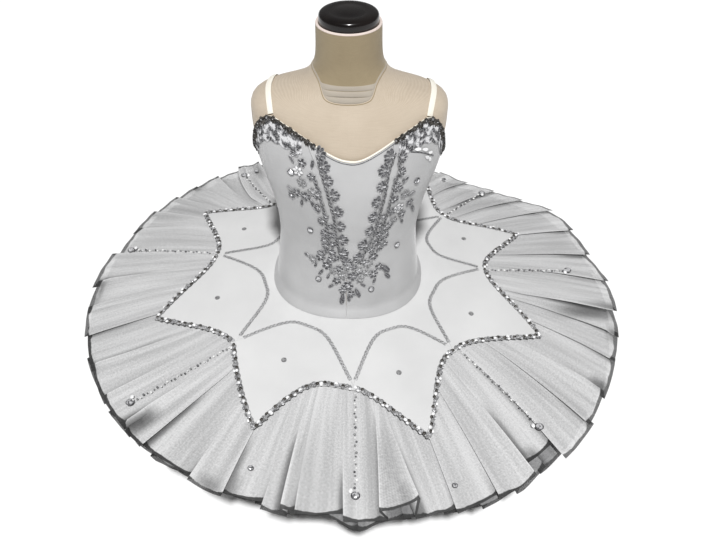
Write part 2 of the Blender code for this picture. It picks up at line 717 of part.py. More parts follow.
def pleat_columns():
    """Columns of (azimuth, lift, reach): each pleat falls from its free fold to its tuck."""
    columns = []
    for number in range(PLEATS):
        start = pleat_start(number)
        following = pleat_start(number + 1) if number + 1 < PLEATS else 360 + pleat_start(0)
        lift = 0.75 + 0.25 * math.sin(1.7 * number + 1)
        reach = 0.0030 * math.sin(2.9 * number) + 0.0018 * math.sin(1.3 * number + 2)
        columns.append((start, lift, reach + 0.5 * PLEAT_STEP))
        columns.append((start + 0.90 * (following - start), 0.0, reach - 0.5 * PLEAT_STEP))
    return columns


def hem_wave(azimuth):
    """Rise and reach of the hem's slow waves at an azimuth."""
    rise, reach = 0.0, 0.0
    for wave in HEM_WAVES:
        away = (azimuth - wave.azimuth + 180) % 360 - 180
        share = math.exp(-(away / wave.width) ** 2)
        rise += wave.rise * share
        reach += wave.reach * share
    return rise, reach


def hem_radius(azimuth, number):
    """Mean radius of a row's hem at an azimuth, before its pleats."""
    angle = math.radians(azimuth)
    front = max(0.0, math.cos(angle)) ** 2
    side = max(0.0, math.sin(angle)) ** 2
    return NET_RADIUS - NET_ROW_STEP * number - NET_FRONT_SHORT * front + NET_SIDE_REACH * side


def build_net_row(number):
    """One row of pleated net, from the band to its hem."""
    drop = NET_FIRST_DROP + NET_ROW_DROP * number
    under, over = [], []
    for azimuth, lift, reach in pleat_columns():
        rise, wave_reach = hem_wave(azimuth)
        root = body_radius(azimuth, -drop, ROOT_CLEAR)
        hem = hem_radius(azimuth, number) + reach + wave_reach
        low, high = [], []
        for radius in (root, NET_MIDDLE - 0.3 * NET_ROW_STEP * number, hem):
            opening = max(0.0, (radius - PLEAT_START) / (hem - PLEAT_START))
            sink = drop + PLEAT_DEPTH * opening * (1 - lift) - rise * opening ** 2
            high.append(skirt_point(azimuth, radius, -sink))
            low.append(skirt_point(azimuth, radius, -sink - NET_WALL))
        under.append(low)
        over.append(high)
    add_wall(f"net_row_{number + 1}", under, over, NET, wrap=True)


def build_hip_band():
    """The band that the net rows and the plate are sewn to, front and back."""
    heights = (BAND_BOTTOM, -0.018, BAND_TOP)
    for name, start in (("hip_band_front", -90.0), ("hip_band_back", 90.0)):
        azimuths = spread(start, start + 180, int(180 / FORM_STEP) + 1)
        azimuths[0] += 0.08
        azimuths[-1] -= 0.08
        inner = [[body_point(a, h, SEAM_GAP) for h in heights] for a in azimuths]
        outer = [[body_point(a, h, SEAM_GAP + CLOTH) for h in heights] for a in azimuths]
        add_wall(name, inner, outer, BAND_CLOTH)


def main():
    for item in list(bpy.data.objects):
        bpy.data.objects.remove(item, do_unlink=True)
    build_form()
    build_bodice()
    build_trimming()
    build_hip_band()
    build_plate()
    build_plate_trimming()
    for number in range(NET_ROWS):
        build_net_row(number)


main()
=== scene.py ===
import math
import random
from collections import namedtuple

import bpy
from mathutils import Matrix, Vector, noise


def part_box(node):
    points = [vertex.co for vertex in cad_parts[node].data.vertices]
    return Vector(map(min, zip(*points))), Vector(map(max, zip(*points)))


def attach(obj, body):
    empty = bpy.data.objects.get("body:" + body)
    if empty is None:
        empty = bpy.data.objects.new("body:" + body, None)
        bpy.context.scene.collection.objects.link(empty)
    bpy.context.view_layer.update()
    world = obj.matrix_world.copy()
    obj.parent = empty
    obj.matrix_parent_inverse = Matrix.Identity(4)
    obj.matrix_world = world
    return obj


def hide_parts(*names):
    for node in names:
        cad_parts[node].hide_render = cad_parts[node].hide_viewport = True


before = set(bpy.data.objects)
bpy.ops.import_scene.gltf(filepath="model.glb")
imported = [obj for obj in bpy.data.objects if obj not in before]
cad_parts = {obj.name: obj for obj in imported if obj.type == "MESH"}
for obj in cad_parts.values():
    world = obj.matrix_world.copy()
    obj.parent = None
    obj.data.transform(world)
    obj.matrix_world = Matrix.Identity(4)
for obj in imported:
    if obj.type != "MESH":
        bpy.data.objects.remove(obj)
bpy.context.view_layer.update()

print("tutu: frame loaded")

# camera first, a little to the right and well above the skirt
shot = {"from": (0.0372, -0.9040, 0.9519), "to": (0.0089, 0.0, 0.1632), "lens": 38.98}


def aim(thing, start, target):
    thing.location = start
    thing.rotation_euler = (Vector(target) - Vector(start)).to_track_quat("-Z", "Y").to_euler()


cameraData = bpy.data.cameras.new("shotCamera")
cameraData.lens = shot["lens"]
cameraData.sensor_width = 36.0
cameraData.sensor_fit = "HORIZONTAL"
cameraData.clip_start = 0.01
camera = bpy.data.objects.new("shotCamera", cameraData)
bpy.context.collection.objects.link(camera)
aim(camera, shot["from"], shot["to"])
bpy.context.scene.camera = camera
print("tutu: camera set")

# how the body and the skirt curve, the same sizes as the solids

hipLine = 0.170
seamGap = 0.0003

# height over the hip line, half width, half depth, forward, sideways, squareness
formRows = (
    (-0.170, 0.1060, 0.0880, 0.000, 0.0000, 2.3),
    (-0.120, 0.1105, 0.0945, 0.000, -0.0025, 2.3),
    (-0.060, 0.1105, 0.0960, 0.000, -0.0055, 2.3),
    (0.000, 0.1038, 0.0965, 0.004, -0.0065, 2.3),
    (0.050, 0.0985, 0.0890, 0.004, -0.0060, 2.2),
    (0.100, 0.0955, 0.0830, 0.003, -0.0050, 2.2),
    (0.150, 0.1030, 0.0830, 0.002, -0.0035, 2.2),
    (0.200, 0.1165, 0.0835, 0.000, -0.0025, 2.3),
    (0.245, 0.1260, 0.0785, -0.002, -0.0025, 2.4),
    (0.272, 0.1285, 0.0675, -0.004, -0.0025, 2.4),
    (0.290, 0.1265, 0.0575, -0.006, -0.0025, 2.4),
    (0.302, 0.1100, 0.0505, -0.007, -0.0025, 2.3),
    (0.311, 0.0770, 0.0465, -0.007, -0.0025, 2.2),
    (0.320, 0.0590, 0.0440, -0.007, -0.0025, 2.1),
    (0.331, 0.0490, 0.0425, -0.007, -0.0025, 2.0),
    (0.342, 0.0440, 0.0415, -0.007, -0.0025, 2.0),
    (0.356, 0.0420, 0.0408, -0.007, -0.0025, 2.0),
    (0.388, 0.0412, 0.0405, -0.007, -0.0025, 2.0),
)

# upper edge of the bodice: azimuth from the centre, height
topEdge = (
    (0, 0.2400), (4, 0.2425), (12, 0.2520), (22, 0.2640), (34, 0.2750), (47, 0.2815), (60, 0.2700),
    (72, 0.2400), (90, 0.2130), (112, 0.2150), (132, 0.2350), (152, 0.2180), (180, 0.2100),
)

# seams of the V panel: height, left azimuth, right azimuth
frontSeams = (
    (0.066, 0.6, 0.6), (0.079, 0.3, 0.9), (0.087, -1.6, 3.8), (0.100, -3.2, 8.6), (0.125, -4.2, 13.6),
    (0.155, -5.4, 17.2), (0.185, -7.3, 18.8), (0.215, -10.6, 19.8), (0.235, -14.4, 20.4),
    (0.265, -19.5, 23.0),
)


def smooth(amount):
    amount = max(0.0, min(1.0, amount))
    return amount * amount * (3 - 2 * amount)


def foldAngle(degrees):
    # the same angle between -180 and 180
    return (degrees + 180) % 360 - 180


def blendRows(rows, position):
    # smooth values of a table's other columns at a position in its first one
    keys = [row[0] for row in rows]
    position = max(keys[0], min(keys[-1], position))
    last = len(keys) - 1
    i = max(k for k in range(last) if keys[k] <= position)
    span = keys[i + 1] - keys[i]
    t = (position - keys[i]) / span
    a, b = max(i - 1, 0), min(i + 2, last)
    values = []
    for c in range(1, len(rows[0])):
        here, there = rows[i][c], rows[i + 1][c]
        slopeIn = (there - rows[a][c]) / (keys[i + 1] - keys[a])
        slopeOut = (rows[b][c] - here) / (keys[b] - keys[i])
        values.append(here + (3 * t * t - 2 * t ** 3) * (there - here)
                      + (t ** 3 - 2 * t * t + t) * span * slopeIn
                      + (t ** 3 - t * t) * span * slopeOut)
    return values


def power(value, exponent):
    return math.copysign(abs(value) ** exponent, value)


def formPoint(azimuth, height):
    wide, deep, forward, sideways, square = blendRows(formRows, height)
    angle = math.radians(azimuth)
    return Vector((sideways + wide * power(math.sin(angle), 2 / square),
                   -forward - deep * power(math.cos(angle), 2 / square), hipLine + height))


def bodyPoint(azimuth, height, out):
    around = formPoint(azimuth + 1, height) - formPoint(azimuth - 1, height)
    up = formPoint(azimuth, height + 0.002) - formPoint(azimuth, height - 0.002)
    return formPoint(azimuth, height) + around.cross(up).normalized() * out


skirt = {"fall": 0.58, "fallStart": 0.10, "frontDip": 0.0145, "sideDip": 0.0137}


def skirtHeight(x, y):
    reach = max(math.hypot(x, y) - skirt["fallStart"], 0)
    return hipLine - skirt["fall"] * reach ** 2 + skirt["frontDip"] * y - skirt["sideDip"] * x


def skirtPoint(azimuth, radius, lift):
    angle = math.radians(azimuth)
    x, y = radius * math.sin(angle), -radius * math.cos(angle)
    return Vector((x, y, skirtHeight(x, y) + lift))


def bodyRadius(azimuth, height, out):
    # how far the body reaches at an azimuth, found by halving
    low, high = azimuth - 25.0, azimuth + 25.0
    for _ in range(26):
        middle = (low + high) / 2
        point = formPoint(middle, height)
        turn = math.degrees(math.atan2(point.x, -point.y)) - azimuth
        if foldAngle(turn) > 0:
            high = middle
        else:
            low = middle
    point = formPoint((low + high) / 2, height)
    return math.hypot(point.x, point.y) + out


# the bodice lies this far off the body, flares out at its hem and is level up to the bust
fit = {"neckTurn": 2.0, "lift": 0.0022, "flare": 0.0040, "frontFlare": 0.0050, "flareRise": 0.016,
       "hemWall": 0.0012, "hemGaps": 1.8, "levelTo": 0.14, "levelFade": 0.08}


def bodiceTop(azimuth):
    turn = fit["neckTurn"] * max(0.0, math.cos(math.radians(azimuth)))
    return blendRows(topEdge, abs(foldAngle(azimuth - turn)))[0]


def hemFlare(azimuth):
    front = (1 + math.cos(math.radians(azimuth))) / 2
    return fit["flare"] + fit["frontFlare"] * front ** 2


def bodiceHem(azimuth):
    edge = bodyPoint(azimuth, 0.0, hemFlare(azimuth) + fit["hemWall"])
    return skirtHeight(edge.x, edge.y) + fit["hemGaps"] * seamGap - hipLine


hemHeights = {}


def bodicePoint(azimuth, height, out):
    key = round(azimuth * 2) / 2
    if key not in hemHeights:
        hemHeights[key] = bodiceHem(key)
    flare = hemFlare(azimuth) * (1 - smooth((height - hemHeights[key]) / fit["flareRise"])) ** 1.5
    point = bodyPoint(azimuth, height, fit["lift"] + flare + out)
    level = 1 - smooth((height - fit["levelTo"]) / fit["levelFade"])
    point.z += (hipLine + height - point.z) * level
    return point


# mesh making


def makePiece(name, points, faces, finishes, uvs=None, slots=None, sharp=45):
    mesh = bpy.data.meshes.new(name)
    mesh.from_pydata([tuple(p) for p in points], [], faces)
    if uvs:
        layer = mesh.uv_layers.new(name="cut")
        for loop, uv in zip(layer.data, uvs):
            loop.uv = uv
    for finish in finishes:
        mesh.materials.append(finish)
    if slots:
        mesh.polygons.foreach_set("material_index", slots)
    mesh.shade_smooth()
    mesh.set_sharp_from_angle(angle=math.radians(sharp))
    piece = bpy.data.objects.new(name, mesh)
    bpy.context.collection.objects.link(piece)
    return piece


def gridLengths(columns):
    # metres along the cloth, for its weave: across by the middle row, up by each column
    middle = len(columns[0]) // 2
    across = [0.0]
    for a, b in zip(columns, columns[1:]):
        across.append(across[-1] + (b[middle] - a[middle]).length)
    up = []
    for column in columns:
        climb = [0.0]
        for a, b in zip(column, column[1:]):
            climb.append(climb[-1] + (b - a).length)
        up.append(climb)
    return across, up


def gridArea(columns):
    area = 0.0
    for a, b in zip(columns, columns[1:]):
        for j in range(len(a) - 1):
            area += ((b[j] - a[j]).cross(b[j + 1] - a[j]).length
                     + (b[j + 1] - a[j]).cross(a[j + 1] - a[j]).length) / 2
    return area


def clothSheet(name, columns, finish, closedRound=False, sharp=60):
    # one open layer of cloth over a grid of points
    if closedRound:
        columns = columns + [columns[0]]
    across, up = gridLengths(columns)
    rows = len(columns[0])
    points = [p for column in columns for p in column]
    faces, uvs = [], []
    for i in range(len(columns) - 1):
        for j in range(rows - 1):
            corners = ((i, j), (i + 1, j), (i + 1, j + 1), (i, j + 1))
            faces.append([a * rows + b for a, b in corners])
            uvs += [(across[a], up[a][b]) for a, b in corners]
    return makePiece(name, points, faces, [finish], uvs, sharp=sharp)


def clothWall(name, inner, outer, finish, closedRound=False, sharp=50):
    # a thin closed wall between two grids of points
    count, rows = len(inner), len(inner[0])
    if closedRound:
        across, up = gridLengths(outer + [outer[0]])
    else:
        across, up = gridLengths(outer)
    points = [p for column in inner for p in column] + [p for column in outer for p in column]
    faces, uvs = [], []

    def put(corners):
        faces.append([side * count * rows + (a % count) * rows + b for a, b, side in corners])
        uvs.extend((across[a], up[a % count][b]) for a, b, side in corners)

    spans = count if closedRound else count - 1
    for i in range(spans):
        for j in range(rows - 1):
            put(((i, j, 1), (i + 1, j, 1), (i + 1, j + 1, 1), (i, j + 1, 1)))
            put(((i, j + 1, 0), (i + 1, j + 1, 0), (i + 1, j, 0), (i, j, 0)))
        put(((i, 0, 0), (i + 1, 0, 0), (i + 1, 0, 1), (i, 0, 1)))
        put(((i, rows - 1, 1), (i + 1, rows - 1, 1), (i + 1, rows - 1, 0), (i, rows - 1, 0)))
    if not closedRound:
        for j in range(rows - 1):
            put(((0, j, 1), (0, j + 1, 1), (0, j + 1, 0), (0, j, 0)))
            put(((count - 1, j, 0), (count - 1, j + 1, 0), (count - 1, j + 1, 1), (count - 1, j, 1)))
    return makePiece(name, points, faces, [finish], uvs, sharp=sharp)


def loft(name, rings, finish, sharp=50):
    # a closed solid through rings of points, bottom to top
    count = len(rings[0])
    points = [p for ring in rings for p in ring]
    around, climb = [0.0], [0.0]
    widest = max(rings, key=lambda ring: (ring[0] - ring[count // 2]).length)
    for i in range(count):
        around.append(around[-1] + (widest[(i + 1) % count] - widest[i]).length)
    for a, b in zip(rings, rings[1:]):
        climb.append(climb[-1] + (b[0] - a[0]).length)
    faces, uvs = [], []
    for j in range(len(rings) - 1):
        for i in range(count):
            k = (i + 1) % count
            faces.append((j * count + i, j * count + k, (j + 1) * count + k, (j + 1) * count + i))
            uvs += [(around[i], climb[j]), (around[i + 1], climb[j]),
                    (around[i + 1], climb[j + 1]), (around[i], climb[j + 1])]
    top = (len(rings) - 1) * count
    faces += [tuple(reversed(range(count))), tuple(range(top, top + count))]
    uvs += [(p.x, p.y) for p in reversed(rings[0])] + [(p.x, p.y) for p in rings[-1]]
    return makePiece(name, points, faces, [finish], uvs, sharp=sharp)


def newParts():
    return {"points": [], "faces": [], "slots": []}


def addTube(parts, path, radius, sides=5, slot=0, closed=False):
    count = len(path)
    start = len(parts["points"])
    side = None
    for i, point in enumerate(path):
        if closed:
            ahead = path[(i + 1) % count] - path[i - 1]
        else:
            ahead = path[min(i + 1, count - 1)] - path[max(i - 1, 0)]
        ahead = ahead.normalized()
        if side is None:
            side = ahead.cross(Vector((0, 0, 1)) if abs(ahead.z) < 0.9 else Vector((1, 0, 0)))
        side = (side - ahead * side.dot(ahead)).normalized()
        over = ahead.cross(side)
        for k in range(sides):
            turn = 2 * math.pi * k / sides
            parts["points"].append(point + (side * math.cos(turn) + over * math.sin(turn)) * radius)
    spans = count if closed else count - 1
    for i in range(spans):
        for k in range(sides):
            n = (k + 1) % sides
            a, b = start + i * sides, start + ((i + 1) % count) * sides
            parts["faces"].append((a + k, b + k, b + n, a + n))
            parts["slots"].append(slot)
    if not closed:
        last = start + (count - 1) * sides
        parts["faces"].append(tuple(start + k for k in range(sides)))
        parts["faces"].append(tuple(last + k for k in reversed(range(sides))))
        parts["slots"] += [slot, slot]


def addBall(parts, centre, across, up, out, sizes, slot=0, sides=8, rings=4):
    # an ellipsoid bead with its three half sizes along its own directions
    start = len(parts["points"])
    parts["points"].append(centre - out * sizes[2])
    for j in range(1, rings):
        tilt = math.pi * j / rings
        for k in range(sides):
            turn = 2 * math.pi * k / sides
            parts["points"].append(centre + across * (sizes[0] * math.sin(tilt) * math.cos(turn))
                                   + up * (sizes[1] * math.sin(tilt) * math.sin(turn))
                                   - out * (sizes[2] * math.cos(tilt)))
    parts["points"].append(centre + out * sizes[2])
    top = len(parts["points"]) - 1
    for k in range(sides):
        n = (k + 1) % sides
        parts["faces"].append((start, start + 1 + n, start + 1 + k))
        parts["faces"].append((top, top - sides + k, top - sides + n))
        for j in range(rings - 2):
            a = start + 1 + j * sides
            parts["faces"].append((a + k, a + n, a + sides + n, a + sides + k))
        parts["slots"] += [slot] * rings


# shares of a stone's radius: reach and rise of its facets, and its setting
stoneCut = {"sides": 10, "levels": ((1.00, 0.00), (1.02, 0.32), (0.86, 0.50), (0.50, 0.72)),
            "setting": 1.12, "settingRise": 0.22, "settingThick": 0.17, "settingSides": 14}


def addStone(parts, centre, across, up, out, radius, gemSlot, rimSlot):
    # a faceted stone in a thin raised setting
    start = len(parts["points"])
    sides, levels = stoneCut["sides"], stoneCut["levels"]
    for j, (reach, rise) in enumerate(levels):
        for k in range(sides):
            turn = 2 * math.pi * (k + 0.5 * (j % 2)) / sides
            parts["points"].append(centre + (across * math.cos(turn) + up * math.sin(turn)) * radius * reach
                                   + out * radius * rise)
    for j in range(len(levels) - 1):
        a = start + j * sides
        for k in range(sides):
            n = (k + 1) % sides
            parts["faces"].append((a + k, a + n, a + sides + n, a + sides + k))
            parts["slots"].append(gemSlot)
    top = start + (len(levels) - 1) * sides
    parts["faces"] += [tuple(top + k for k in range(sides)), tuple(start + k for k in reversed(range(sides)))]
    parts["slots"] += [gemSlot, rimSlot]
    around = stoneCut["settingSides"]
    ring = [centre + (across * math.cos(t) + up * math.sin(t)) * radius * stoneCut["setting"]
            + out * radius * stoneCut["settingRise"]
            for t in [2 * math.pi * k / around for k in range(around)]]
    addTube(parts, ring, radius * stoneCut["settingThick"], 5, rimSlot, closed=True)


def joined(name, parts, finishes, sharp=40):
    return makePiece(name, parts["points"], parts["faces"], finishes, None, parts["slots"], sharp)


# finishes


def newFinish(name, colour, roughness, **sockets):
    finish = bpy.data.materials.new(name)
    finish.use_nodes = True
    shader = finish.node_tree.nodes["Principled BSDF"]
    shader.inputs["Base Color"].default_value = (*colour, 1)
    shader.inputs["Roughness"].default_value = roughness
    for key, value in sockets.items():
        shader.inputs[key].default_value = value
    return finish, finish.node_tree, shader


def node(tree, kind, values=None, **settings):
    made = tree.nodes.new(kind)
    for key, value in settings.items():
        setattr(made, key, value)
    for key, value in (values or {}).items():
        made.inputs[key].default_value = value
    return made


def cutCoordinates(tree, scale=(1, 1, 1), turn=0.0):
    source = node(tree, "ShaderNodeUVMap", uv_map="cut")
    mapping = node(tree, "ShaderNodeMapping", {"Scale": scale, "Rotation": (0, 0, math.radians(turn))})
    tree.links.new(source.outputs[0], mapping.inputs["Vector"])
    return mapping.outputs[0]


def objectCoordinates(tree, scale=(1, 1, 1)):
    source = node(tree, "ShaderNodeTexCoord")
    mapping = node(tree, "ShaderNodeMapping", {"Scale": scale})
    tree.links.new(source.outputs["Object"], mapping.inputs["Vector"])
    return mapping.outputs[0]


def grey(value):
    return (value, value, value)


def ramp(tree, value, stops):
    made = node(tree, "ShaderNodeValToRGB")
    while len(made.color_ramp.elements) < len(stops):
        made.color_ramp.elements.new(0.5)
    for element, (place, colour) in zip(made.color_ramp.elements, stops):
        element.position = place
        element.color = (*colour, 1)
    tree.links.new(value, made.inputs["Fac"])
    return made.outputs["Color"]


def blotches(tree, vector, scale, detail=3.0, rough=0.5):
    made = node(tree, "ShaderNodeTexNoise", {"Scale": scale, "Detail": detail, "Roughness": rough})
    tree.links.new(vector, made.inputs["Vector"])
    return made.outputs["Fac"]


wavePeriod = 0.31416  # a wave texture of scale 1 repeats after this many metres


def threads(tree, vector, period, direction="X"):
    made = node(tree, "ShaderNodeTexWave", {"Scale": wavePeriod / period, "Distortion": 0.0},
                wave_type="BANDS", bands_direction=direction)
    tree.links.new(vector, made.inputs["Vector"])
    return made.outputs["Fac"]


def combine(tree, operation, a, b):
    made = node(tree, "ShaderNodeMath", operation=operation)
    for socket, value in zip(made.inputs, (a, b)):
        if isinstance(value, (int, float)):
            socket.default_value = value
        else:
            tree.links.new(value, socket)
    return made.outputs[0]


def bump(tree, shader, height, strength, distance):
    made = node(tree, "ShaderNodeBump", {"Strength": strength, "Distance": distance})
    tree.links.new(height, made.inputs["Height"])
    tree.links.new(made.outputs[0], shader.inputs["Normal"])


def linenFinish(name, dark, light, pitch=0.0009):
    finish, tree, shader = newFinish(name, light, 0.86)
    shader.inputs["Sheen Weight"].default_value = 0.15
    weave = combine(tree, "MULTIPLY", threads(tree, cutCoordinates(tree), pitch, "X"),
                    threads(tree, cutCoordinates(tree), pitch, "Y"))
    slubs = blotches(tree, cutCoordinates(tree, (60, 900, 1)), 1.0, 2.0)
    mottle = blotches(tree, objectCoordinates(tree), 14.0, 4.0, 0.6)
    tone = combine(tree, "ADD", combine(tree, "MULTIPLY", weave, 0.30),
                   combine(tree, "ADD", combine(tree, "MULTIPLY", slubs, 0.25),
                           combine(tree, "MULTIPLY", mottle, 0.45)))
    tree.links.new(ramp(tree, tone, ((0.2, dark), (0.75, light))), shader.inputs["Base Color"])
    bump(tree, shader, combine(tree, "ADD", weave, slubs), 0.35, 0.0003)
    return finish


def satinFinish(name, dark, light, roughness=0.40, wrinkle=0.25):
    finish, tree, shader = newFinish(name, light, roughness)
    shader.inputs["Sheen Weight"].default_value = 0.20
    shader.inputs["Sheen Roughness"].default_value = 0.4
    cloud = blotches(tree, objectCoordinates(tree), 9.0, 3.0, 0.55)
    line = threads(tree, cutCoordinates(tree), 0.0006, "X")
    tone = combine(tree, "ADD", combine(tree, "MULTIPLY", cloud, 0.85),
                   combine(tree, "MULTIPLY", line, 0.12))
    tree.links.new(ramp(tree, tone, ((0.25, dark), (0.7, light))), shader.inputs["Base Color"])
    pucker = blotches(tree, cutCoordinates(tree, (26, 60, 1)), 1.0, 3.0, 0.5)
    bump(tree, shader, combine(tree, "ADD", combine(tree, "MULTIPLY", pucker, wrinkle),
                               combine(tree, "MULTIPLY", line, 0.02)), 0.5, 0.004)
    return finish


def netFinish(name, dark, light, mesh=0.0013, hole=0.68, rim=0.0024):
    # diamond net: two crossing sets of threads, thinner between them. The "fold" layer
    # carries painted shade and painted highlights at each fold's edge, and its second value is the distance
    # to the hem, where painted shade darkens the edge
    finish, tree, shader = newFinish(name, light, 0.62)
    shader.inputs["Sheen Weight"].default_value = 0.15
    one = threads(tree, cutCoordinates(tree, turn=45), mesh, "X")
    two = threads(tree, cutCoordinates(tree, turn=45), mesh, "Y")
    crossing = combine(tree, "MAXIMUM", one, two)
    solid = ramp(tree, crossing, ((0.60, grey(hole)), (0.78, grey(1.0))))
    tree.links.new(solid, shader.inputs["Alpha"])
    # radial creases: a bump, and the same streaks darken and lighten the colour as painted shade and light of
    # the creases
    crease = blotches(tree, cutCoordinates(tree, (85, 3.0, 1)), 1.0, 3.0, 0.65)
    grain = blotches(tree, cutCoordinates(tree, (480, 400, 1)), 1.0, 3.0, 0.8)
    tone = combine(tree, "ADD", combine(tree, "MULTIPLY", crease, 0.50),
                   combine(tree, "MULTIPLY", grain, 0.50))
    colour = ramp(tree, tone, ((0.40, dark), (0.58, light)))
    fold = node(tree, "ShaderNodeUVMap", uv_map="fold")
    split = node(tree, "ShaderNodeSeparateXYZ")
    tree.links.new(fold.outputs[0], split.inputs[0])
    # painted shade beside each fold and painted highlight on its edge, from the fold layer's first value
    shade = ramp(tree, split.outputs["X"], ((0.0, grey(0.10)), (0.28, grey(0.46)), (0.5, grey(1.0)),
                                            (0.75, grey(1.14)), (1.0, grey(1.30))))
    # painted shade along the hem's edge, patchy in width, from the fold layer's second value
    patch = blotches(tree, cutCoordinates(tree, (38, 0, 1)), 1.0, 2.0, 0.6)
    edge = combine(tree, "DIVIDE", split.outputs["Y"], combine(tree, "MULTIPLY", patch, 2 * rim))
    rimShade = ramp(tree, edge, ((0.80, grey(0.06)), (1.0, grey(1.0))))
    for factor in (shade, rimShade):
        mixed = node(tree, "ShaderNodeMix", {"Factor": 1.0}, data_type="RGBA", blend_type="MULTIPLY")
        tree.links.new(colour, mixed.inputs["A"])
        tree.links.new(factor, mixed.inputs["B"])
        colour = mixed.outputs["Result"]
    tree.links.new(colour, shader.inputs["Base Color"])
    bump(tree, shader, crease, 0.4, 0.0012)
    return finish


def laceFinish(name, dark, light, cell=0.0030):
    # open lace: round meshes with thick work between them
    finish, tree, shader = newFinish(name, light, 0.50, Metallic=0.10)
    cells = node(tree, "ShaderNodeTexVoronoi", {"Scale": 1.0 / cell, "Randomness": 0.65},
                 voronoi_dimensions="2D", feature="DISTANCE_TO_EDGE")
    tree.links.new(cutCoordinates(tree), cells.inputs["Vector"])
    figures = blotches(tree, cutCoordinates(tree), 120.0, 2.0)
    worked = combine(tree, "ADD", cells.outputs["Distance"],
                     combine(tree, "MULTIPLY", combine(tree, "SUBTRACT", 0.5, figures), 1.3))
    tree.links.new(ramp(tree, worked, ((0.20, grey(1.0)), (0.30, grey(0.12)))), shader.inputs["Alpha"])
    tree.links.new(ramp(tree, figures, ((0.42, dark), (0.50, (0.30, 0.30, 0.31)), (0.58, light))),
                   shader.inputs["Base Color"])
    bump(tree, shader, worked, -0.6, 0.0008)
    return finish


def metalThread(name, dark, light, roughness=0.34, metallic=0.75):
    finish, tree, shader = newFinish(name, light, roughness, Metallic=metallic)
    grain = blotches(tree, objectCoordinates(tree), 420.0, 2.0)
    tree.links.new(ramp(tree, grain, ((0.36, dark), (0.64, light))), shader.inputs["Base Color"])
    bump(tree, shader, grain, 0.4, 0.0004)
    return finish


finishes = {
    "linen": linenFinish("linenCover", (0.43, 0.355, 0.27), (0.59, 0.51, 0.41)),
    "neckLinen": linenFinish("neckLinen", (0.25, 0.195, 0.115), (0.385, 0.315, 0.20)),
    "greySatin": satinFinish("greySatin", (0.37, 0.37, 0.372), (0.52, 0.52, 0.523)),
    "paleSatin": satinFinish("paleSatin", (0.43, 0.43, 0.432), (0.55, 0.55, 0.553), 0.42, 0.18),
    "plateSatin": satinFinish("plateSatin", (0.575, 0.575, 0.575), (0.665, 0.665, 0.663), 0.50, 0.12),
    "ivory": satinFinish("ivoryBinding", (0.80, 0.76, 0.66), (0.93, 0.90, 0.82), 0.55, 0.05),
    "rollLinen": linenFinish("rollLinen", (0.34, 0.30, 0.245), (0.505, 0.45, 0.385)),
    "bandCotton": satinFinish("bandCotton", (0.66, 0.66, 0.65), (0.78, 0.78, 0.77), 0.75, 0.05),
    "netTop": netFinish("stiffNetTop", (0.42, 0.42, 0.422), (0.65, 0.65, 0.652), rim=0.0030),
    # the lower rows: the same net painted much darker, as painted shade under the top row
    "netUnderShaded": netFinish("stiffNetUnderShaded", (0.13, 0.13, 0.132), (0.26, 0.26, 0.262), rim=0.0034),
    "neckTape": linenFinish("neckTape", (0.66, 0.55, 0.50), (0.86, 0.77, 0.72)),
    "lace": laceFinish("silverLace", (0.04, 0.04, 0.045), (0.66, 0.66, 0.67)),
    "blackThread": metalThread("blackThread", (0.010, 0.008, 0.006), (0.075, 0.068, 0.060), 0.5, 0.1),
    "darkThread": metalThread("darkSilverThread", (0.035, 0.035, 0.038), (0.19, 0.19, 0.20), 0.45, 0.3),
    "greyThread": metalThread("greyThread", (0.14, 0.14, 0.142), (0.34, 0.34, 0.342), 0.5, 0.1),
    "silverThread": metalThread("silverThread", (0.17, 0.17, 0.175), (0.50, 0.50, 0.51), 0.45, 0.3),
    "cordThread": metalThread("cordThread", (0.24, 0.24, 0.242), (0.42, 0.42, 0.423), 0.55, 0.1),
    "paleThread": metalThread("paleThread", (0.42, 0.42, 0.43), (0.60, 0.60, 0.61), 0.55, 0.1),
    "whiteThread": metalThread("whiteThread", (0.70, 0.70, 0.71), (0.92, 0.92, 0.92), 0.6, 0.0),
}


def lacquerFinish():
    finish, tree, shader = newFinish("capLacquer", (0.010, 0.007, 0.006), 0.34)
    shader.inputs["Specular IOR Level"].default_value = 0.08
    shader.inputs["Coat Weight"].default_value = 0.70
    shader.inputs["Coat Roughness"].default_value = 0.17
    haze = blotches(tree, objectCoordinates(tree), 30.0, 4.0, 0.6)
    tree.links.new(ramp(tree, haze, ((0.35, (0.003, 0.002, 0.002)), (0.75, (0.010, 0.007, 0.006)))),
                   shader.inputs["Base Color"])
    tree.links.new(ramp(tree, haze, ((0.3, grey(0.20)), (0.7, grey(0.34)))), shader.inputs["Roughness"])
    return finish


def gemFinish():
    finish, tree, shader = newFinish("stoneWithPaintedGlints", (0.60, 0.60, 0.62), 0.08, Metallic=0.55)
    # dark and near-white patches over the stone: painted glints and dark reflections of its facets
    tint = blotches(tree, objectCoordinates(tree), 300.0, 1.0)
    tree.links.new(ramp(tree, tint, ((0.38, (0.20, 0.20, 0.21)), (0.55, (0.92, 0.92, 0.94)))),
                   shader.inputs["Base Color"])
    shader.inputs["Coat Weight"].default_value = 1.0
    shader.inputs["Coat Roughness"].default_value = 0.02
    return finish


def pearlFinish():
    finish, tree, shader = newFinish("seedPearl", (0.82, 0.82, 0.82), 0.25)
    tint = blotches(tree, objectCoordinates(tree), 160.0, 2.0)
    tree.links.new(ramp(tree, tint, ((0.3, (0.55, 0.55, 0.56)), (0.7, (0.92, 0.92, 0.90)))),
                   shader.inputs["Base Color"])
    shader.inputs["Coat Weight"].default_value = 0.5
    return finish


finishes["lacquer"] = lacquerFinish()
finishes["gem"] = gemFinish()
finishes["pearl"] = pearlFinish()
print("tutu: finishes mixed")


def addPiece(piece, slot):
    # a piece with no solid of its own
    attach(piece, "root")


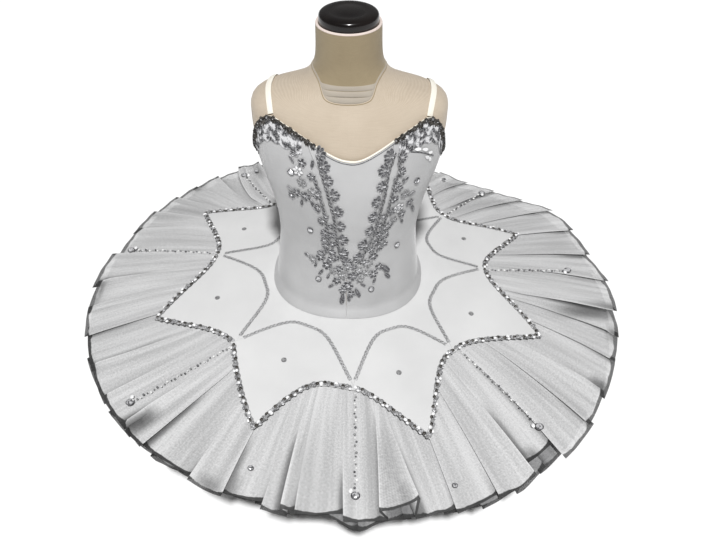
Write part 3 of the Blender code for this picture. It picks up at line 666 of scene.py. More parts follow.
def place(piece, slot, *nodes):
    addPiece(piece, slot)
    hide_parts(*nodes)
    return piece


def cutSheet(columns, closedRound=False):
    # works out the flat cut, as long as the longest run up the cloth and of the cloth's own area, but keeps
    # neither its length nor its width
    if closedRound:
        columns = columns + [columns[0]]
    _, up = gridLengths(columns)
    length = max(climb[-1] for climb in up)
    gridArea(columns) / length


# dress form

torso = {"ribs": 120, "rise": 0.006, "shoulder": 0.262, "shoulderRows": 16, "neckRows": 18,
         "neckSeam": 0.3345, "seamDip": 0.0305, "seamCurve": 9, "seatHollow": 0.0030, "baseEase": 0.985}
# the linen rolls at the throat: foot, top and how far each stands out
throat = {"rolls": ((0.3030, 0.3112, 0.0017), (0.3106, 0.3182, 0.0013), (0.3176, 0.3250, 0.0008)),
          "steps": 9, "swell": 0.0003, "under": 0.0006, "least": 0.0002, "lowGap": 0.0008,
          "highGap": 0.0014, "cord": 0.0006, "cordDrop": 0.0016, "tape": 0.0018, "tapeRise": 0.0006}
# the turned cap from its foot to the middle of its top: radius, height
capProfile = ((0.0360, 0.0), (0.0370, 0.0006), (0.0374, 0.0020), (0.0374, 0.0060), (0.0372, 0.0095),
              (0.0366, 0.0113), (0.0352, 0.0128), (0.0330, 0.0138), (0.0300, 0.0144), (0.0270, 0.0149),
              (0.0235, 0.0146), (0.0200, 0.0146), (0.0150, 0.0152), (0.0090, 0.0158), (0.0030, 0.0160))


def neckSeam(azimuth):
    front = (1 + math.cos(math.radians(azimuth))) / 2
    return torso["neckSeam"] - torso["seamDip"] * front ** torso["seamCurve"]


def seamRings(azimuths, lift, hollow):
    # the neck's seam and two rings inside it, raised to a low dome
    seam = [formPoint(a, neckSeam(a) + lift) for a in azimuths]
    centre = Vector((formRows[-1][4], -formRows[-1][3], hipLine + neckSeam(90) + lift + hollow))
    middle = [centre.lerp(point, 0.5) for point in seam]
    inner = [centre.lerp(point, 0.15) for point in seam]
    for point in inner:
        point.z = centre.z
    return [seam, middle, inner]


def neckRoll(parts, azimuths, first, last, reach):
    # a soft level roll of cloth at the throat, from one height to another, that narrows to
    # nothing where the seam rises over it
    start = len(parts["points"])
    steps = throat["steps"]
    for a in azimuths:
        low = max(first, neckSeam(a) - throat["lowGap"])
        high = max(last, neckSeam(a) + throat["highGap"])
        full = min(1.0, (high - low) / (last - first))
        for k in range(steps):
            t = k / (steps - 1)
            swell = throat["swell"] * noise.noise(Vector((a * 0.05, t * 2, 400 * first)))
            out = max(full * (reach * math.sin(math.pi * t) ** 0.6 + swell), throat["least"])
            if k in (0, steps - 1):
                out = -throat["under"]
            parts["points"].append(bodyPoint(a, low + (high - low) * t, out))
    count = len(azimuths)
    for i in range(count):
        n = (i + 1) % count
        for k in range(steps - 1):
            parts["faces"].append((start + i * steps + k, start + n * steps + k,
                                   start + n * steps + k + 1, start + i * steps + k + 1))
            parts["slots"].append(0)


def buildTorso(azimuths):
    foot = formRows[0][0]
    tall = torso["shoulder"] - foot
    count = round(tall / torso["rise"])
    rings = [[formPoint(a, foot + tall * j / count) for a in azimuths] for j in range(count + 1)]
    rows = torso["shoulderRows"]
    for j in range(1, rows + 1):
        rings.append([formPoint(a, torso["shoulder"] + (neckSeam(a) - torso["shoulder"]) * j / rows)
                      for a in azimuths])
    # the lowest edge is eased over so that the base isn't razor sharp
    ease = torso["baseEase"]
    rings[0] = [Vector((p.x * ease, p.y * ease, p.z)) for p in rings[0]]
    rings += seamRings(azimuths, 0.0, 0.0)[1:]
    place(loft("formTorso", rings, finishes["linen"]), "linen", "form_torso")


def buildNeck(azimuths, top):
    rings = seamRings(azimuths, seamGap, torso["seatHollow"])[::-1]
    rows = torso["neckRows"]
    for j in range(1, rows + 1):
        part = j / rows
        rings.append([formPoint(a, neckSeam(a) + seamGap + (top - neckSeam(a) - seamGap) * part ** 1.3)
                      for a in azimuths])
    place(loft("formNeck", rings, finishes["neckLinen"]), "neck_linen", "form_neck")


def buildThroat(azimuths, top):
    # the rolls of linen at the throat, with a fine dark cord along the seam under them, its darkness a
    # painted shadow under the rolls
    parts = newParts()
    for first, last, reach in throat["rolls"]:
        neckRoll(parts, azimuths, first, last, reach)
    addTube(parts, [bodyPoint(a, neckSeam(a) - throat["cordDrop"], 0.0) for a in azimuths], throat["cord"],
            6, 1, closed=True)
    roll = joined("neckFootRoll", parts, [finishes["rollLinen"], finishes["neckLinen"]])
    addPiece(roll, "linen")

    # the pale tape that finishes the neck under its cap
    parts = newParts()
    rise = Vector((0, 0, throat["tapeRise"]))
    addTube(parts, [bodyPoint(a, top, -throat["tape"]) + rise for a in azimuths], throat["tape"], 8, 0,
            closed=True)
    ring = joined("neckTopTape", parts, [finishes["neckTape"]])
    addPiece(ring, "neck_linen")


def buildCap(azimuths, top):
    base = hipLine + top + seamGap
    rings = [[Vector((formRows[-1][4] + r * math.sin(math.radians(a)),
                      -formRows[-1][3] - r * math.cos(math.radians(a)), base + h))
              for a in azimuths] for r, h in capProfile]
    place(loft("formNeckCap", rings, finishes["lacquer"], 60), "black_lacquer", "form_neck_cap")


def buildForm():
    azimuths = [360 * i / torso["ribs"] for i in range(torso["ribs"])]
    top = formRows[-1][0]
    buildTorso(azimuths)
    buildNeck(azimuths, top)
    buildThroat(azimuths, top)
    buildCap(azimuths, top)


buildForm()
print("tutu: dress form made")

# bodice

bodice = {"cloth": 0.0012, "under": 0.0001, "halfSeam": 0.09, "rows": 60, "seamDip": 0.0005,
          "seamFade": 1.2, "wrinkle": 0.0006, "waist": 0.095, "waistWidth": 0.045, "waistShare": 0.9,
          "softShare": 0.5}
# name, first seam, last seam, finish, slot, columns, lowest climb, solid
panels = (
    ("bodiceBackLeft", -180.0, -83.0, "greySatin", "grey_satin", 36, 0.0, "bodice_back_left"),
    ("bodiceSideFrontLeft", -83.0, "left", "greySatin", "grey_satin", 36, 0.0, "bodice_side_front_left"),
    ("bodiceCentreFront", "left", "right", "paleSatin", "pale_satin", 18, 0.335, "bodice_centre_front"),
    ("bodiceSideFrontRight", "right", 83.0, "greySatin", "grey_satin", 36, 0.0, "bodice_side_front_right"),
    ("bodiceBackRight", 83.0, 180.0, "greySatin", "grey_satin", 36, 0.0, "bodice_back_right"),
)


def seamAzimuth(seam, height):
    left, right = blendRows(frontSeams, height)
    return {"left": left, "right": right}.get(seam, seam)


def panelPlace(first, last, across, climb):
    # the seams lean, so the place is found by a few rounds that begin at the waist
    height = 0.12
    for _ in range(6):
        low = seamAzimuth(first, height) + bodice["halfSeam"]
        high = seamAzimuth(last, height) - bodice["halfSeam"]
        azimuth = low + (high - low) * across
        hem = bodiceHem(azimuth)
        height = hem + (bodiceTop(azimuth) - hem) * climb
    return azimuth, height


def drag(azimuth, height, seed):
    # faint drag lines: across the waist, and short ones off the seams
    waist = math.exp(-((height - bodice["waist"]) / bodice["waistWidth"]) ** 2)
    lines = noise.noise(Vector((azimuth * 0.030, height * 75, seed)))
    soft = noise.noise(Vector((azimuth * 0.05, height * 16, seed + 5)))
    return bodice["wrinkle"] * (bodice["waistShare"] * waist * lines + bodice["softShare"] * soft)


def buildBodice():
    for number, (name, first, last, finish, slot, columns, lowest, solid) in enumerate(panels):
        inner, outer = [], []
        for i in range(columns + 1):
            across = i / columns
            edge = min(across, 1 - across) * columns
            low, high = [], []
            for j in range(bodice["rows"] + 1):
                climb = lowest + (1 - lowest) * j / bodice["rows"]
                azimuth, height = panelPlace(first, last, across, climb)
                dip = bodice["seamDip"] * math.exp(-edge * bodice["seamFade"])
                wave = drag(azimuth, height, number * 3.0) * smooth(edge / 3) * smooth((1 - climb) * 14)
                out = bodice["cloth"] - dip + max(wave, -bodice["wrinkle"])
                low.append(bodicePoint(azimuth, height, bodice["under"]))
                high.append(bodicePoint(azimuth, height, out))
            inner.append(low)
            outer.append(high)
        piece = place(clothWall(name, inner, outer, finishes[finish]), slot, solid)
        cutSheet(outer)


buildBodice()
print("tutu: bodice cut")


def edgeRun(first, last, step=1.5):
    count = max(2, round((last - first) / step))
    return [first + (last - first) * i / count for i in range(count + 1)]


# a bound edge seen from its end: height over the panel's edge, distance out
bindingSection = ((0.0, 0.0002), (0.0003, 0.0014), (0.0013, 0.0019), (0.0023, 0.0014), (0.0026, 0.0004),
                  (0.0020, -0.0001))


def buildBinding(name, first, last, solid):
    # a rounded strip that runs along the top of the panels
    sides = len(bindingSection)
    points, faces, uvs = [], [], []
    azimuths = edgeRun(first, last)
    runs = []
    for azimuth in azimuths:
        edge = bodiceTop(azimuth) + seamGap
        ring = [bodicePoint(azimuth, edge + rise, out + bodice["under"]) for rise, out in bindingSection]
        runs.append(runs[-1] + (ring[0] - points[-sides]).length if runs else 0.0)
        points += ring
    wide = 0.001  # cloth from one corner of the section to the next
    for i in range(len(azimuths) - 1):
        for k in range(sides):
            n = (k + 1) % sides
            faces.append((i * sides + k, (i + 1) * sides + k, (i + 1) * sides + n, i * sides + n))
            uvs += [(runs[i], k * wide), (runs[i + 1], k * wide),
                    (runs[i + 1], k * wide + wide), (runs[i], k * wide + wide)]
    end = (len(azimuths) - 1) * sides
    faces += [tuple(range(sides)), tuple(end + k for k in reversed(range(sides)))]
    uvs += [(0, k * wide) for k in range(sides)] + [(runs[-1], k * wide) for k in range(sides)]
    piece = makePiece(name, points, faces, [finishes["ivory"]], uvs)
    place(piece, "ivory_binding", solid)


def buildBindings():
    buildBinding("necklineBinding", -45.0, 49.0, "neckline_binding")
    buildBinding("armholeBindingLeft", -132.0, -45.3, "armhole_binding_left")
    buildBinding("armholeBindingRight", 49.3, 132.0, "armhole_binding_right")
    buildBinding("backBinding", 132.3, 227.7, "back_binding")


buildBindings()

# an elastic strap swings over the shoulder about a core inside the form, from its front end's
# angle to its back end's
strap = {"width": 0.0075, "thick": 0.0012, "reachTop": 0.106, "reachEnds": 0.098, "front": 29.5,
         "back": 198.0, "clear": 0.0010, "steps": 60, "coreBack": 0.004, "coreHeight": 0.262,
         "farthest": 0.12}


def outsideForm(point):
    wide, deep, forward, sideways, square = blendRows(formRows, point.z - hipLine)
    return abs((point.x - sideways) / wide) ** square + abs((point.y + forward) / deep) ** square - 1


def shoulderPoint(side, swing):
    angle = math.radians(swing)
    lean = max(0.0, math.sin(angle)) ** 2
    out = strap["reachEnds"] + (strap["reachTop"] - strap["reachEnds"]) * lean
    core = Vector((side * out, strap["coreBack"], hipLine + strap["coreHeight"]))
    direction = Vector((0, -math.cos(angle), math.sin(angle)))
    near, far = 0.0, strap["farthest"]
    for _ in range(30):
        reach = (near + far) / 2
        if outsideForm(core + direction * reach) > 0:
            far = reach
        else:
            near = reach
    point = core + direction * near
    step = 0.0005
    slope = [outsideForm(point + Vector(axis) * step) - outsideForm(point - Vector(axis) * step)
             for axis in ((1, 0, 0), (0, 1, 0), (0, 0, 1))]
    return point, Vector(slope).normalized()


def buildStrap(name, side, solid):
    inner, outer = [], []
    count = strap["steps"]
    spots = [shoulderPoint(side, strap["front"] + (strap["back"] - strap["front"]) * i / count)
             for i in range(count + 1)]
    for i, (point, up) in enumerate(spots):
        ahead = spots[min(i + 1, count)][0] - spots[max(i - 1, 0)][0]
        across = up.cross(ahead).normalized()
        low, high = [], []
        for k in range(5):
            part = k / 4 - 0.5
            base = point + up * strap["clear"] + across * (strap["width"] * part)
            low.append(base)
            high.append(base + up * (strap["thick"] * (1 - 1.6 * part ** 2)))
        inner.append(low)
        outer.append(high)
    place(clothWall(name, inner, outer, finishes["ivory"]), "ivory_binding", solid)


buildStrap("strapLeft", -1, "strap_left")
buildStrap("strapRight", 1, "strap_right")
print("tutu: edges bound, straps on")

# lace and braid


def bodiceSpot(azimuth, height):
    # a small flat drawing place on the bodice, in metres
    wide = (bodicePoint(azimuth + 1, height, 0.003) - bodicePoint(azimuth - 1, height, 0.003)).length / 2

    def at(x, y, lift):
        return bodicePoint(azimuth + x / wide, height + y, bodice["cloth"] + lift)
    return at


def plateSpot(azimuth, radius):
    wide = math.radians(1) * radius

    def at(x, y, lift):
        return skirtPoint(azimuth + x / wide, radius + y, lift)
    return at


def leafOutline(start, angle, length, width, count):
    # places round a leaf's edge, from its stem
    c, s = math.cos(angle), math.sin(angle)
    for k in range(count):
        t = 2 * math.pi * k / count
        along = length * (0.5 - 0.5 * math.cos(t))
        side = width * math.sin(t) * (0.6 + 0.4 * along / length)
        yield start[0] + along * c - side * s, start[1] + along * s + side * c


def addLoop(parts, at, start, angle, length, width, lift, thread, slot, count=10):
    # one leaf-shaped loop of thread
    path = [at(x, y, lift) for x, y in leafOutline(start, angle, length, width, count)]
    addTube(parts, path, thread, 4, slot, closed=True)


leafDome = 0.0006


def addLeaf(parts, at, start, angle, length, width, lift, slot, count=10):
    # a thin filled leaf, a little domed
    first = len(parts["points"])
    parts["points"] += [at(x, y, lift) for x, y in leafOutline(start, angle, length, width, count)]
    middle = 0.55 * length
    parts["points"].append(at(start[0] + middle * math.cos(angle), start[1] + middle * math.sin(angle),
                              lift + leafDome))
    for k in range(count):
        parts["faces"].append((first + k, first + (k + 1) % count, first + count))
        parts["slots"].append(slot)


def frameAt(at, x=0.0, y=0.0, lift=0.0):
    centre = at(x, y, lift)
    across = (at(x + 0.001, y, lift) - centre).normalized()
    up = (at(x, y + 0.001, lift) - centre).normalized()
    return centre, across, up, across.cross(up).normalized()


# lifts are off the cloth, in metres, and the rest are shares of the flower's radius
flower = {"leafWidth": 0.34, "loopWidth": 0.36, "leafLift": 0.0010, "loopLift": 0.0013, "thread": 0.00032,
          "eyeLift": 0.0015, "eye": (0.0012, 0.0012, 0.0009), "ground": 0.84}


def addFlower(parts, spot, radius, petals, turn, fill, edge, eye, ground=None):
    for k in range(petals):
        angle = turn + 2 * math.pi * k / petals
        addLeaf(parts, spot, (0, 0), angle, radius, radius * flower["leafWidth"], flower["leafLift"], fill)
        addLoop(parts, spot, (0, 0), angle, radius, radius * flower["loopWidth"], flower["loopLift"],
                flower["thread"], edge)
    centre, across, up, out = frameAt(spot, 0, 0, flower["eyeLift"])
    addBall(parts, centre, across, up, out, flower["eye"], eye)
    if ground is not None:
        # close stitching that the petals lie on
        pad = radius * flower["ground"]
        addBall(parts, centre - out * 0.0010, across, up, out, (pad, pad, 0.0006), ground, 10, 2)


fan = {"shorter": 0.05, "leafLength": 0.95, "width": 0.23, "loopLift": 0.0003, "thread": 0.0003,
       "eyeLift": 0.0007, "eye": (0.0013, 0.0013, 0.0009)}


def addFan(parts, at, start, angle, size, slots, lobes=5, spread=30, lift=0.0009):
    # one scallop: loops spread from a bead
    fill, edge, eye = slots
    for k in range(lobes):
        away = k - (lobes - 1) / 2
        turn = angle + math.radians(spread) * away
        reach = size * (1.0 - fan["shorter"] * abs(away))
        width = size * fan["width"]
        addLeaf(parts, at, start, turn, reach * fan["leafLength"], width, lift, fill)
        addLoop(parts, at, start, turn, reach, width, lift + fan["loopLift"], fan["thread"], edge)
    centre, across, up, out = frameAt(at, *start, lift + fan["eyeLift"])
    addBall(parts, centre, across, up, out, fan["eye"], eye)


def resample(spots, surface, step, fine=12):
    # places at even distances along a run of (a, b) places on a surface
    dense = []
    for (a0, b0), (a1, b1) in zip(spots, spots[1:]):
        dense += [(a0 + (a1 - a0) * k / fine, b0 + (b1 - b0) * k / fine) for k in range(fine)]
    dense.append(spots[-1])
    points = [surface(a, b) for a, b in dense]
    lengths = [0.0]
    for p, q in zip(points, points[1:]):
        lengths.append(lengths[-1] + (q - p).length)
    count = max(2, round(lengths[-1] / step))
    result, k = [], 0
    for i in range(count + 1):
        target = lengths[-1] * i / count
        while k < len(lengths) - 2 and lengths[k + 1] < target:
            k += 1
        part = (target - lengths[k]) / max(lengths[k + 1] - lengths[k], 1e-9)
        a = dense[k][0] + (dense[k + 1][0] - dense[k][0]) * part
        b = dense[k][1] + (dense[k + 1][1] - dense[k][1]) * part
        result.append((a, b))
    return result


def smoothRun(spots, count=8):
    # a rounded run through listed spots
    result = []
    last = len(spots) - 1
    for i in range(last):
        p0, p1, p2, p3 = spots[max(i - 1, 0)], spots[i], spots[i + 1], spots[min(i + 2, last)]
        for k in range(count):
            t = k / count
            result.append(tuple(0.5 * (2 * b + (c - a) * t + (2 * a - 5 * b + 4 * c - d) * t * t
                                       + (3 * b - a - 3 * c + d) * t ** 3)
                                for a, b, c, d in zip(p0, p1, p2, p3)))
    result.append(spots[-1])
    return result


braid = {"size": 0.0122, "outerSize": 0.0096, "root": 0.0050, "pad": 0.45, "uneven": 0.07,
         "gimpWidth": 0.0052, "gimpPitch": 0.0058, "gimpSwing": 0.0012, "thread": 0.00055,
         "stepsPerTurn": 6, "degreeWide": 0.00172}


def addGimp(parts, spots, surface, pitch, swing, thread, slots, lift):
    # two threads that cross over each other in a flat plait
    turnSteps = braid["stepsPerTurn"]
    fine = resample(spots, lambda a, b: surface(a, b)(0, 0, 0.001), pitch / turnSteps)
    for strand in (0, 1):
        path = []
        for i, (a, b) in enumerate(fine):
            a0, b0 = fine[max(i - 1, 0)]
            a1, b1 = fine[min(i + 1, len(fine) - 1)]
            at = surface(a, b)
            p0, p1 = surface(a0, b0)(0, 0, lift), surface(a1, b1)(0, 0, lift)
            centre, _, _, out = frameAt(at, 0, 0, lift)
            side = out.cross(p1 - p0).normalized()
            phase = 2 * math.pi * i / turnSteps + math.pi * strand
            path.append(centre + side * (swing * math.sin(phase)) + out * (swing * 0.4 * math.cos(phase)))
        addTube(parts, path, thread, 4, slots[strand])


def addRibbon(parts, spots, surface, width, lift, slot, step=0.0028, scallop=0.0, pitch=0.0100):
    # a narrow flat tape under the threads, a little crowned
    fine = resample(spots, lambda a, b: surface(a, b)(0, 0, 0.001), step)
    start = len(parts["points"])
    for i, (a, b) in enumerate(fine):
        a0, b0 = fine[max(i - 1, 0)]
        a1, b1 = fine[min(i + 1, len(fine) - 1)]
        p0, p1 = surface(a0, b0)(0, 0, lift), surface(a1, b1)(0, 0, lift)
        centre, _, _, out = frameAt(surface(a, b), 0, 0, lift)
        side = out.cross(p1 - p0).normalized()
        half = 0.5 * width * (1 + scallop * math.sin(2 * math.pi * i * step / pitch))
        for k in (-1.0, -0.5, 0.0, 0.5, 1.0):
            parts["points"].append(centre + side * (half * k) + out * (leafDome * (1 - k * k)))
    for i in range(len(fine) - 1):
        for k in range(4):
            a, b = start + i * 5 + k, start + (i + 1) * 5 + k
            parts["faces"].append((a, a + 1, b + 1, b))
            parts["slots"].append(slot)


def rowHeading(spots, i):
    # the way a row runs at one of its spots, in radians on the bodice seen from outside
    a, b = spots[max(i - 1, 0)], spots[min(i + 1, len(spots) - 1)]
    return math.atan2(b[1] - a[1], (b[0] - a[0]) * braid["degreeWide"])


def scallopRow(parts, spots, side, size, root):
    # one scallop at each spot, on the left or right side of the row's run
    for i, (azimuth, height) in enumerate(spots):
        at = bodiceSpot(azimuth, height)
        angle = rowHeading(spots, i) + side * math.pi / 2
        grow = 1 + braid["uneven"] * math.sin(2.3 * i)
        centre, across, up, out = frameAt(at, 0, 0, 0.0008)
        pad = braid["pad"] * size
        addBall(parts, centre, across, up, out, (pad, pad, 0.0006), 3, 10, 2)
        addFan(parts, at, (-root * math.cos(angle), -root * math.sin(angle)), angle, size * grow, (0, 1, 2))


# small flowers beside the outer rows: azimuth, height, radius
sprigs = {
    "braidOuterLeft": (
        (-9.6, 0.146, 0.0052), (-9.8, 0.131, 0.0062), (-8.9, 0.116, 0.0064), (-9.6, 0.102, 0.0064),
        (-6.6, 0.093, 0.0058), (-15.4, 0.121, 0.0052), (-12.6, 0.161, 0.0040)),
    "braidOuterRight": (
        (22.6, 0.146, 0.0056), (23.4, 0.131, 0.0062), (21.8, 0.117, 0.0064), (18.4, 0.106, 0.0060),
        (26.4, 0.123, 0.0060), (27.0, 0.139, 0.0056), (29.6, 0.112, 0.0052), (24.4, 0.160, 0.0048)),
}
# each row's solid, the side its scallops point to, their size, the middles of the scallops and
# the plaited gimp that they are sewn along: azimuth and height, from the top down
braidRuns = {
    "braidInnerLeft": ("braid_inner_left", 1, "size",
        ((-11.2, 0.251), (-9.8, 0.236), (-8.3, 0.217), (-6.0, 0.196), (-4.3, 0.171), (-3.0, 0.147),
         (-2.0, 0.124), (-0.9, 0.102), (2.0, 0.086)),
        ((-13.0, 0.250), (-12.6, 0.240), (-11.9, 0.229), (-10.4, 0.206), (-8.9, 0.184), (-7.4, 0.161),
         (-6.7, 0.137), (-5.4, 0.117), (-3.0, 0.097), (-0.2, 0.081))),
    "braidInnerRight": ("braid_inner_right", -1, "size",
        ((20.3, 0.248), (17.9, 0.231), (17.8, 0.208), (17.0, 0.185), (16.5, 0.161), (15.2, 0.138),
         (11.6, 0.115), (8.0, 0.094)),
        ((23.6, 0.252), (22.4, 0.240), (21.2, 0.229), (21.2, 0.212), (21.4, 0.194), (21.1, 0.174),
         (20.6, 0.152), (19.2, 0.135), (16.3, 0.116), (12.3, 0.098), (8.2, 0.085))),
    "braidOuterLeft": ("braid_outer_left", -1, "outerSize",
        ((-17.4, 0.195), (-17.9, 0.174), (-16.9, 0.153), (-15.2, 0.133), (-14.6, 0.113), (-19.0, 0.098)),
        ((-16.4, 0.216), (-15.0, 0.196), (-13.7, 0.172), (-13.1, 0.148), (-12.4, 0.128), (-12.9, 0.109),
         (-16.2, 0.096))),
    "braidOuterRight": ("braid_outer_right", 1, "outerSize",
        ((29.8, 0.245), (30.2, 0.226), (29.4, 0.206), (30.6, 0.142), (29.2, 0.126), (26.4, 0.108)),
        ((26.8, 0.250), (27.6, 0.236), (28.4, 0.226), (26.8, 0.212), (26.7, 0.195), (26.8, 0.171),
         (26.0, 0.150), (23.4, 0.129), (22.9, 0.111))),
}


def buildBraids():
    for name, (solid, side, size, spots, run) in braidRuns.items():
        parts = newParts()
        scallopRow(parts, spots, side, braid[size], braid["root"] * braid[size] / braid["size"])
        for i, (azimuth, height, radius) in enumerate(sprigs.get(name, ())):
            addFlower(parts, bodiceSpot(azimuth, height), radius, 5 + i % 2, i * 1.1, 0, 1, 2, 3)
        gimp = smoothRun(run)
        addRibbon(parts, gimp, bodiceSpot, braid["gimpWidth"], 0.0007, 3, scallop=0.22, pitch=0.0115)
        addGimp(parts, gimp, bodiceSpot, braid["gimpPitch"], braid["gimpSwing"], braid["thread"], (0, 1),
                0.0015)
        piece = joined(name, parts, [finishes["darkThread"], finishes["silverThread"], finishes["gem"],
                                     finishes["greyThread"]])
        place(piece, "silver_braid", solid)


buildBraids()
print("tutu: braid rows sewn")

cupLace = {"depth": 0.023, "rows": 8, "below": 0.0012, "ends": 0.72, "wave": 0.0022, "waveTurn": 0.42,
           "under": 0.0003, "over": 0.0011}


def buildCupLace(name, first, last, solid):
    inner, outer = [], []
    for azimuth in edgeRun(first, last, 0.8):
        top = bodiceTop(azimuth) - cupLace["below"]
        part = (azimuth - first) / (last - first)
        depth = cupLace["depth"] * (cupLace["ends"] + (1 - cupLace["ends"]) * math.sin(math.pi * part))
        depth += cupLace["wave"] * abs(math.sin(azimuth * cupLace["waveTurn"]))
        heights = [top - depth + depth * k / cupLace["rows"] for k in range(cupLace["rows"] + 1)]
        inner.append([bodicePoint(azimuth, h, bodice["cloth"] + cupLace["under"]) for h in heights])
        outer.append([bodicePoint(azimuth, h, bodice["cloth"] + cupLace["over"]) for h in heights])
    piece = place(clothWall(name, inner, outer, finishes["lace"]), "silver_lace", solid)
    cutSheet(outer)


buildCupLace("cupLaceLeft", -70, -22, "cup_lace_left")
buildCupLace("cupLaceRight", 26, 70, "cup_lace_right")

# the dark picot edge: its fans above and below the line, and the gimp that holds them
picot = {"pitch": 0.0088, "size": 0.0050, "above": 0.0012, "uneven": 0.22, "upper": 0.62, "lower": 0.9,
         "sideLower": 0.35, "lobes": 3, "spread": 38, "gimpPitch": 0.0042, "gimpSwing": 0.0009,
         "gimp": 0.00095}
# where it runs along the neckline's side and down the armhole
picotRuns = {"picotEdgeLeft": ((-47.5, -15.0), (-90.0, -48.0)),
             "picotEdgeRight": ((24.0, 50.5), (51.0, 90.0))}


def buildPicots():
    for name, runs in picotRuns.items():
        parts = newParts()
        for number, (first, last) in enumerate(runs):
            spots = [(a, bodiceTop(a) + picot["above"]) for a in edgeRun(first, last, 2.0)]
            run = resample(spots, lambda a, b: bodicePoint(a, b, 0.003), picot["pitch"])
            for i, (azimuth, height) in enumerate(run):
                heading = rowHeading(run, i)
                at = bodiceSpot(azimuth, height)
                grow = 1 + picot["uneven"] * math.sin(1.9 * i + number)
                upper = picot["upper"] * picot["size"] * grow
                lower = (picot["lower"] + picot["sideLower"] * number) * picot["size"] * grow
                addFan(parts, at, (0, -0.0006), heading + math.pi / 2, upper, (0, 0, 2), picot["lobes"],
                       picot["spread"], 0.0014)
                addFan(parts, at, (0, 0), heading - math.pi / 2, lower, (0, 1 if i % 3 == 2 else 0, 2),
                       picot["lobes"], picot["spread"], 0.0012)
            addGimp(parts, spots, bodiceSpot, picot["gimpPitch"], picot["gimpSwing"], picot["gimp"], (0, 0),
                    0.0021)
        piece = joined(name, parts, [finishes["blackThread"], finishes["darkThread"], finishes["gem"]])
        addPiece(piece, "silver_lace")


buildPicots()

# each motif: its solid, then flowers (azimuth, height, radius, petals, pale)
# and leaves (azimuth, height, turn, length)
motifs = {
    "laceMotifCentre": ("lace_motif_centre",
        ((1.5, 0.048, 0.0085, 6, 0), (-1.6, 0.066, 0.0080, 6, 0), (4.9, 0.064, 0.0078, 6, 0),
         (-5.6, 0.056, 0.0068, 5, 0), (10.0, 0.058, 0.0064, 5, 0), (3.8, 0.035, 0.0062, 5, 0),
         (-1.6, 0.041, 0.0060, 5, 0), (1.2, 0.079, 0.0058, 6, 0), (5.4, 0.079, 0.0056, 5, 0),
         (-4.4, 0.076, 0.0060, 6, 0), (9.2, 0.074, 0.0056, 5, 0)),
        ((-1.2, 0.036, -96, 0.018), (1.8, 0.036, -84, 0.013), (6.6, 0.044, -68, 0.016),
         (-7.4, 0.050, 215, 0.010), (3.2, 0.078, 95, 0.012), (8.4, 0.066, 30, 0.011),
         (10.4, 0.052, -40, 0.010))),
    "laceMotifBustLeft": ("lace_motif_bust_left",
        ((-22.8, 0.238, 0.0062, 5, 0), (-25.5, 0.210, 0.0070, 6, 0), (-24.7, 0.190, 0.0074, 6, 0),
         (-31.0, 0.193, 0.0066, 5, 0), (-19.2, 0.198, 0.0068, 5, 0), (-36.6, 0.186, 0.0056, 5, 0),
         (-18.2, 0.220, 0.0062, 5, 0), (-26.6, 0.226, 0.0072, 6, 1), (-32.2, 0.222, 0.0040, 5, 0)),
        ((-24.5, 0.246, 165, 0.012), (-30.0, 0.222, 185, 0.010), (-17.2, 0.232, 75, 0.011),
         (-21.6, 0.186, 285, 0.012), (-28.0, 0.184, 250, 0.011), (-34.0, 0.194, 150, 0.010),
         (-16.4, 0.208, 300, 0.011), (-28.4, 0.236, 120, 0.010))),
    "laceMotifBustRight": ("lace_motif_bust_right",
        ((30.6, 0.202, 0.0066, 6, 0), (37.4, 0.190, 0.0070, 6, 0), (45.4, 0.172, 0.0066, 5, 0),
         (29.6, 0.186, 0.0062, 5, 0), (35.2, 0.169, 0.0085, 6, 1), (30.0, 0.166, 0.0070, 6, 0),
         (40.6, 0.156, 0.0064, 5, 0), (33.6, 0.150, 0.0062, 5, 0)),
        ((27.6, 0.206, 100, 0.014), (33.0, 0.208, 60, 0.011), (49.0, 0.165, -55, 0.014),
         (53.5, 0.158, -75, 0.010), (41.0, 0.148, -60, 0.010), (31.4, 0.146, 240, 0.010),
         (41.0, 0.186, 20, 0.011), (31.6, 0.217, -60, 0.009))),
    "laceMotifLowLeft": ("lace_motif_low_left",
        ((-18.6, 0.092, 0.0072, 6, 0), (-25.2, 0.085, 0.0064, 5, 0), (-13.2, 0.080, 0.0074, 6, 0),
         (-10.4, 0.090, 0.0060, 5, 0), (-8.2, 0.072, 0.0066, 6, 0)),
        ((-28.0, 0.088, 165, 0.010), (-16.2, 0.072, 235, 0.011), (-21.8, 0.082, 250, 0.009),
         (-11.0, 0.068, 250, 0.010), (-15.6, 0.098, 80, 0.010))),
    "laceMotifLowRight": ("lace_motif_low_right",
        ((20.5, 0.094, 0.0070, 6, 0), (16.2, 0.083, 0.0078, 6, 0), (25.6, 0.075, 0.0064, 5, 0),
         (20.6, 0.065, 0.0072, 6, 0), (15.0, 0.068, 0.0062, 5, 0), (12.8, 0.086, 0.0056, 5, 0)),
        ((26.6, 0.078, -48, 0.022), (30.6, 0.062, -52, 0.014), (23.0, 0.100, 70, 0.012),
         (22.4, 0.058, 250, 0.010), (11.6, 0.074, 200, 0.009), (18.2, 0.072, -60, 0.012))),
}
# a motif's leaf: widths as shares of its length, then its threads and lifts
leaf = {"fill": 0.22, "loop": 0.24, "loopThread": 0.0004, "rib": 0.00028, "fillLift": 0.0008,
        "loopLift": 0.0012, "ribLift": 0.0014, "loopSteps": 14, "ribSteps": 4}


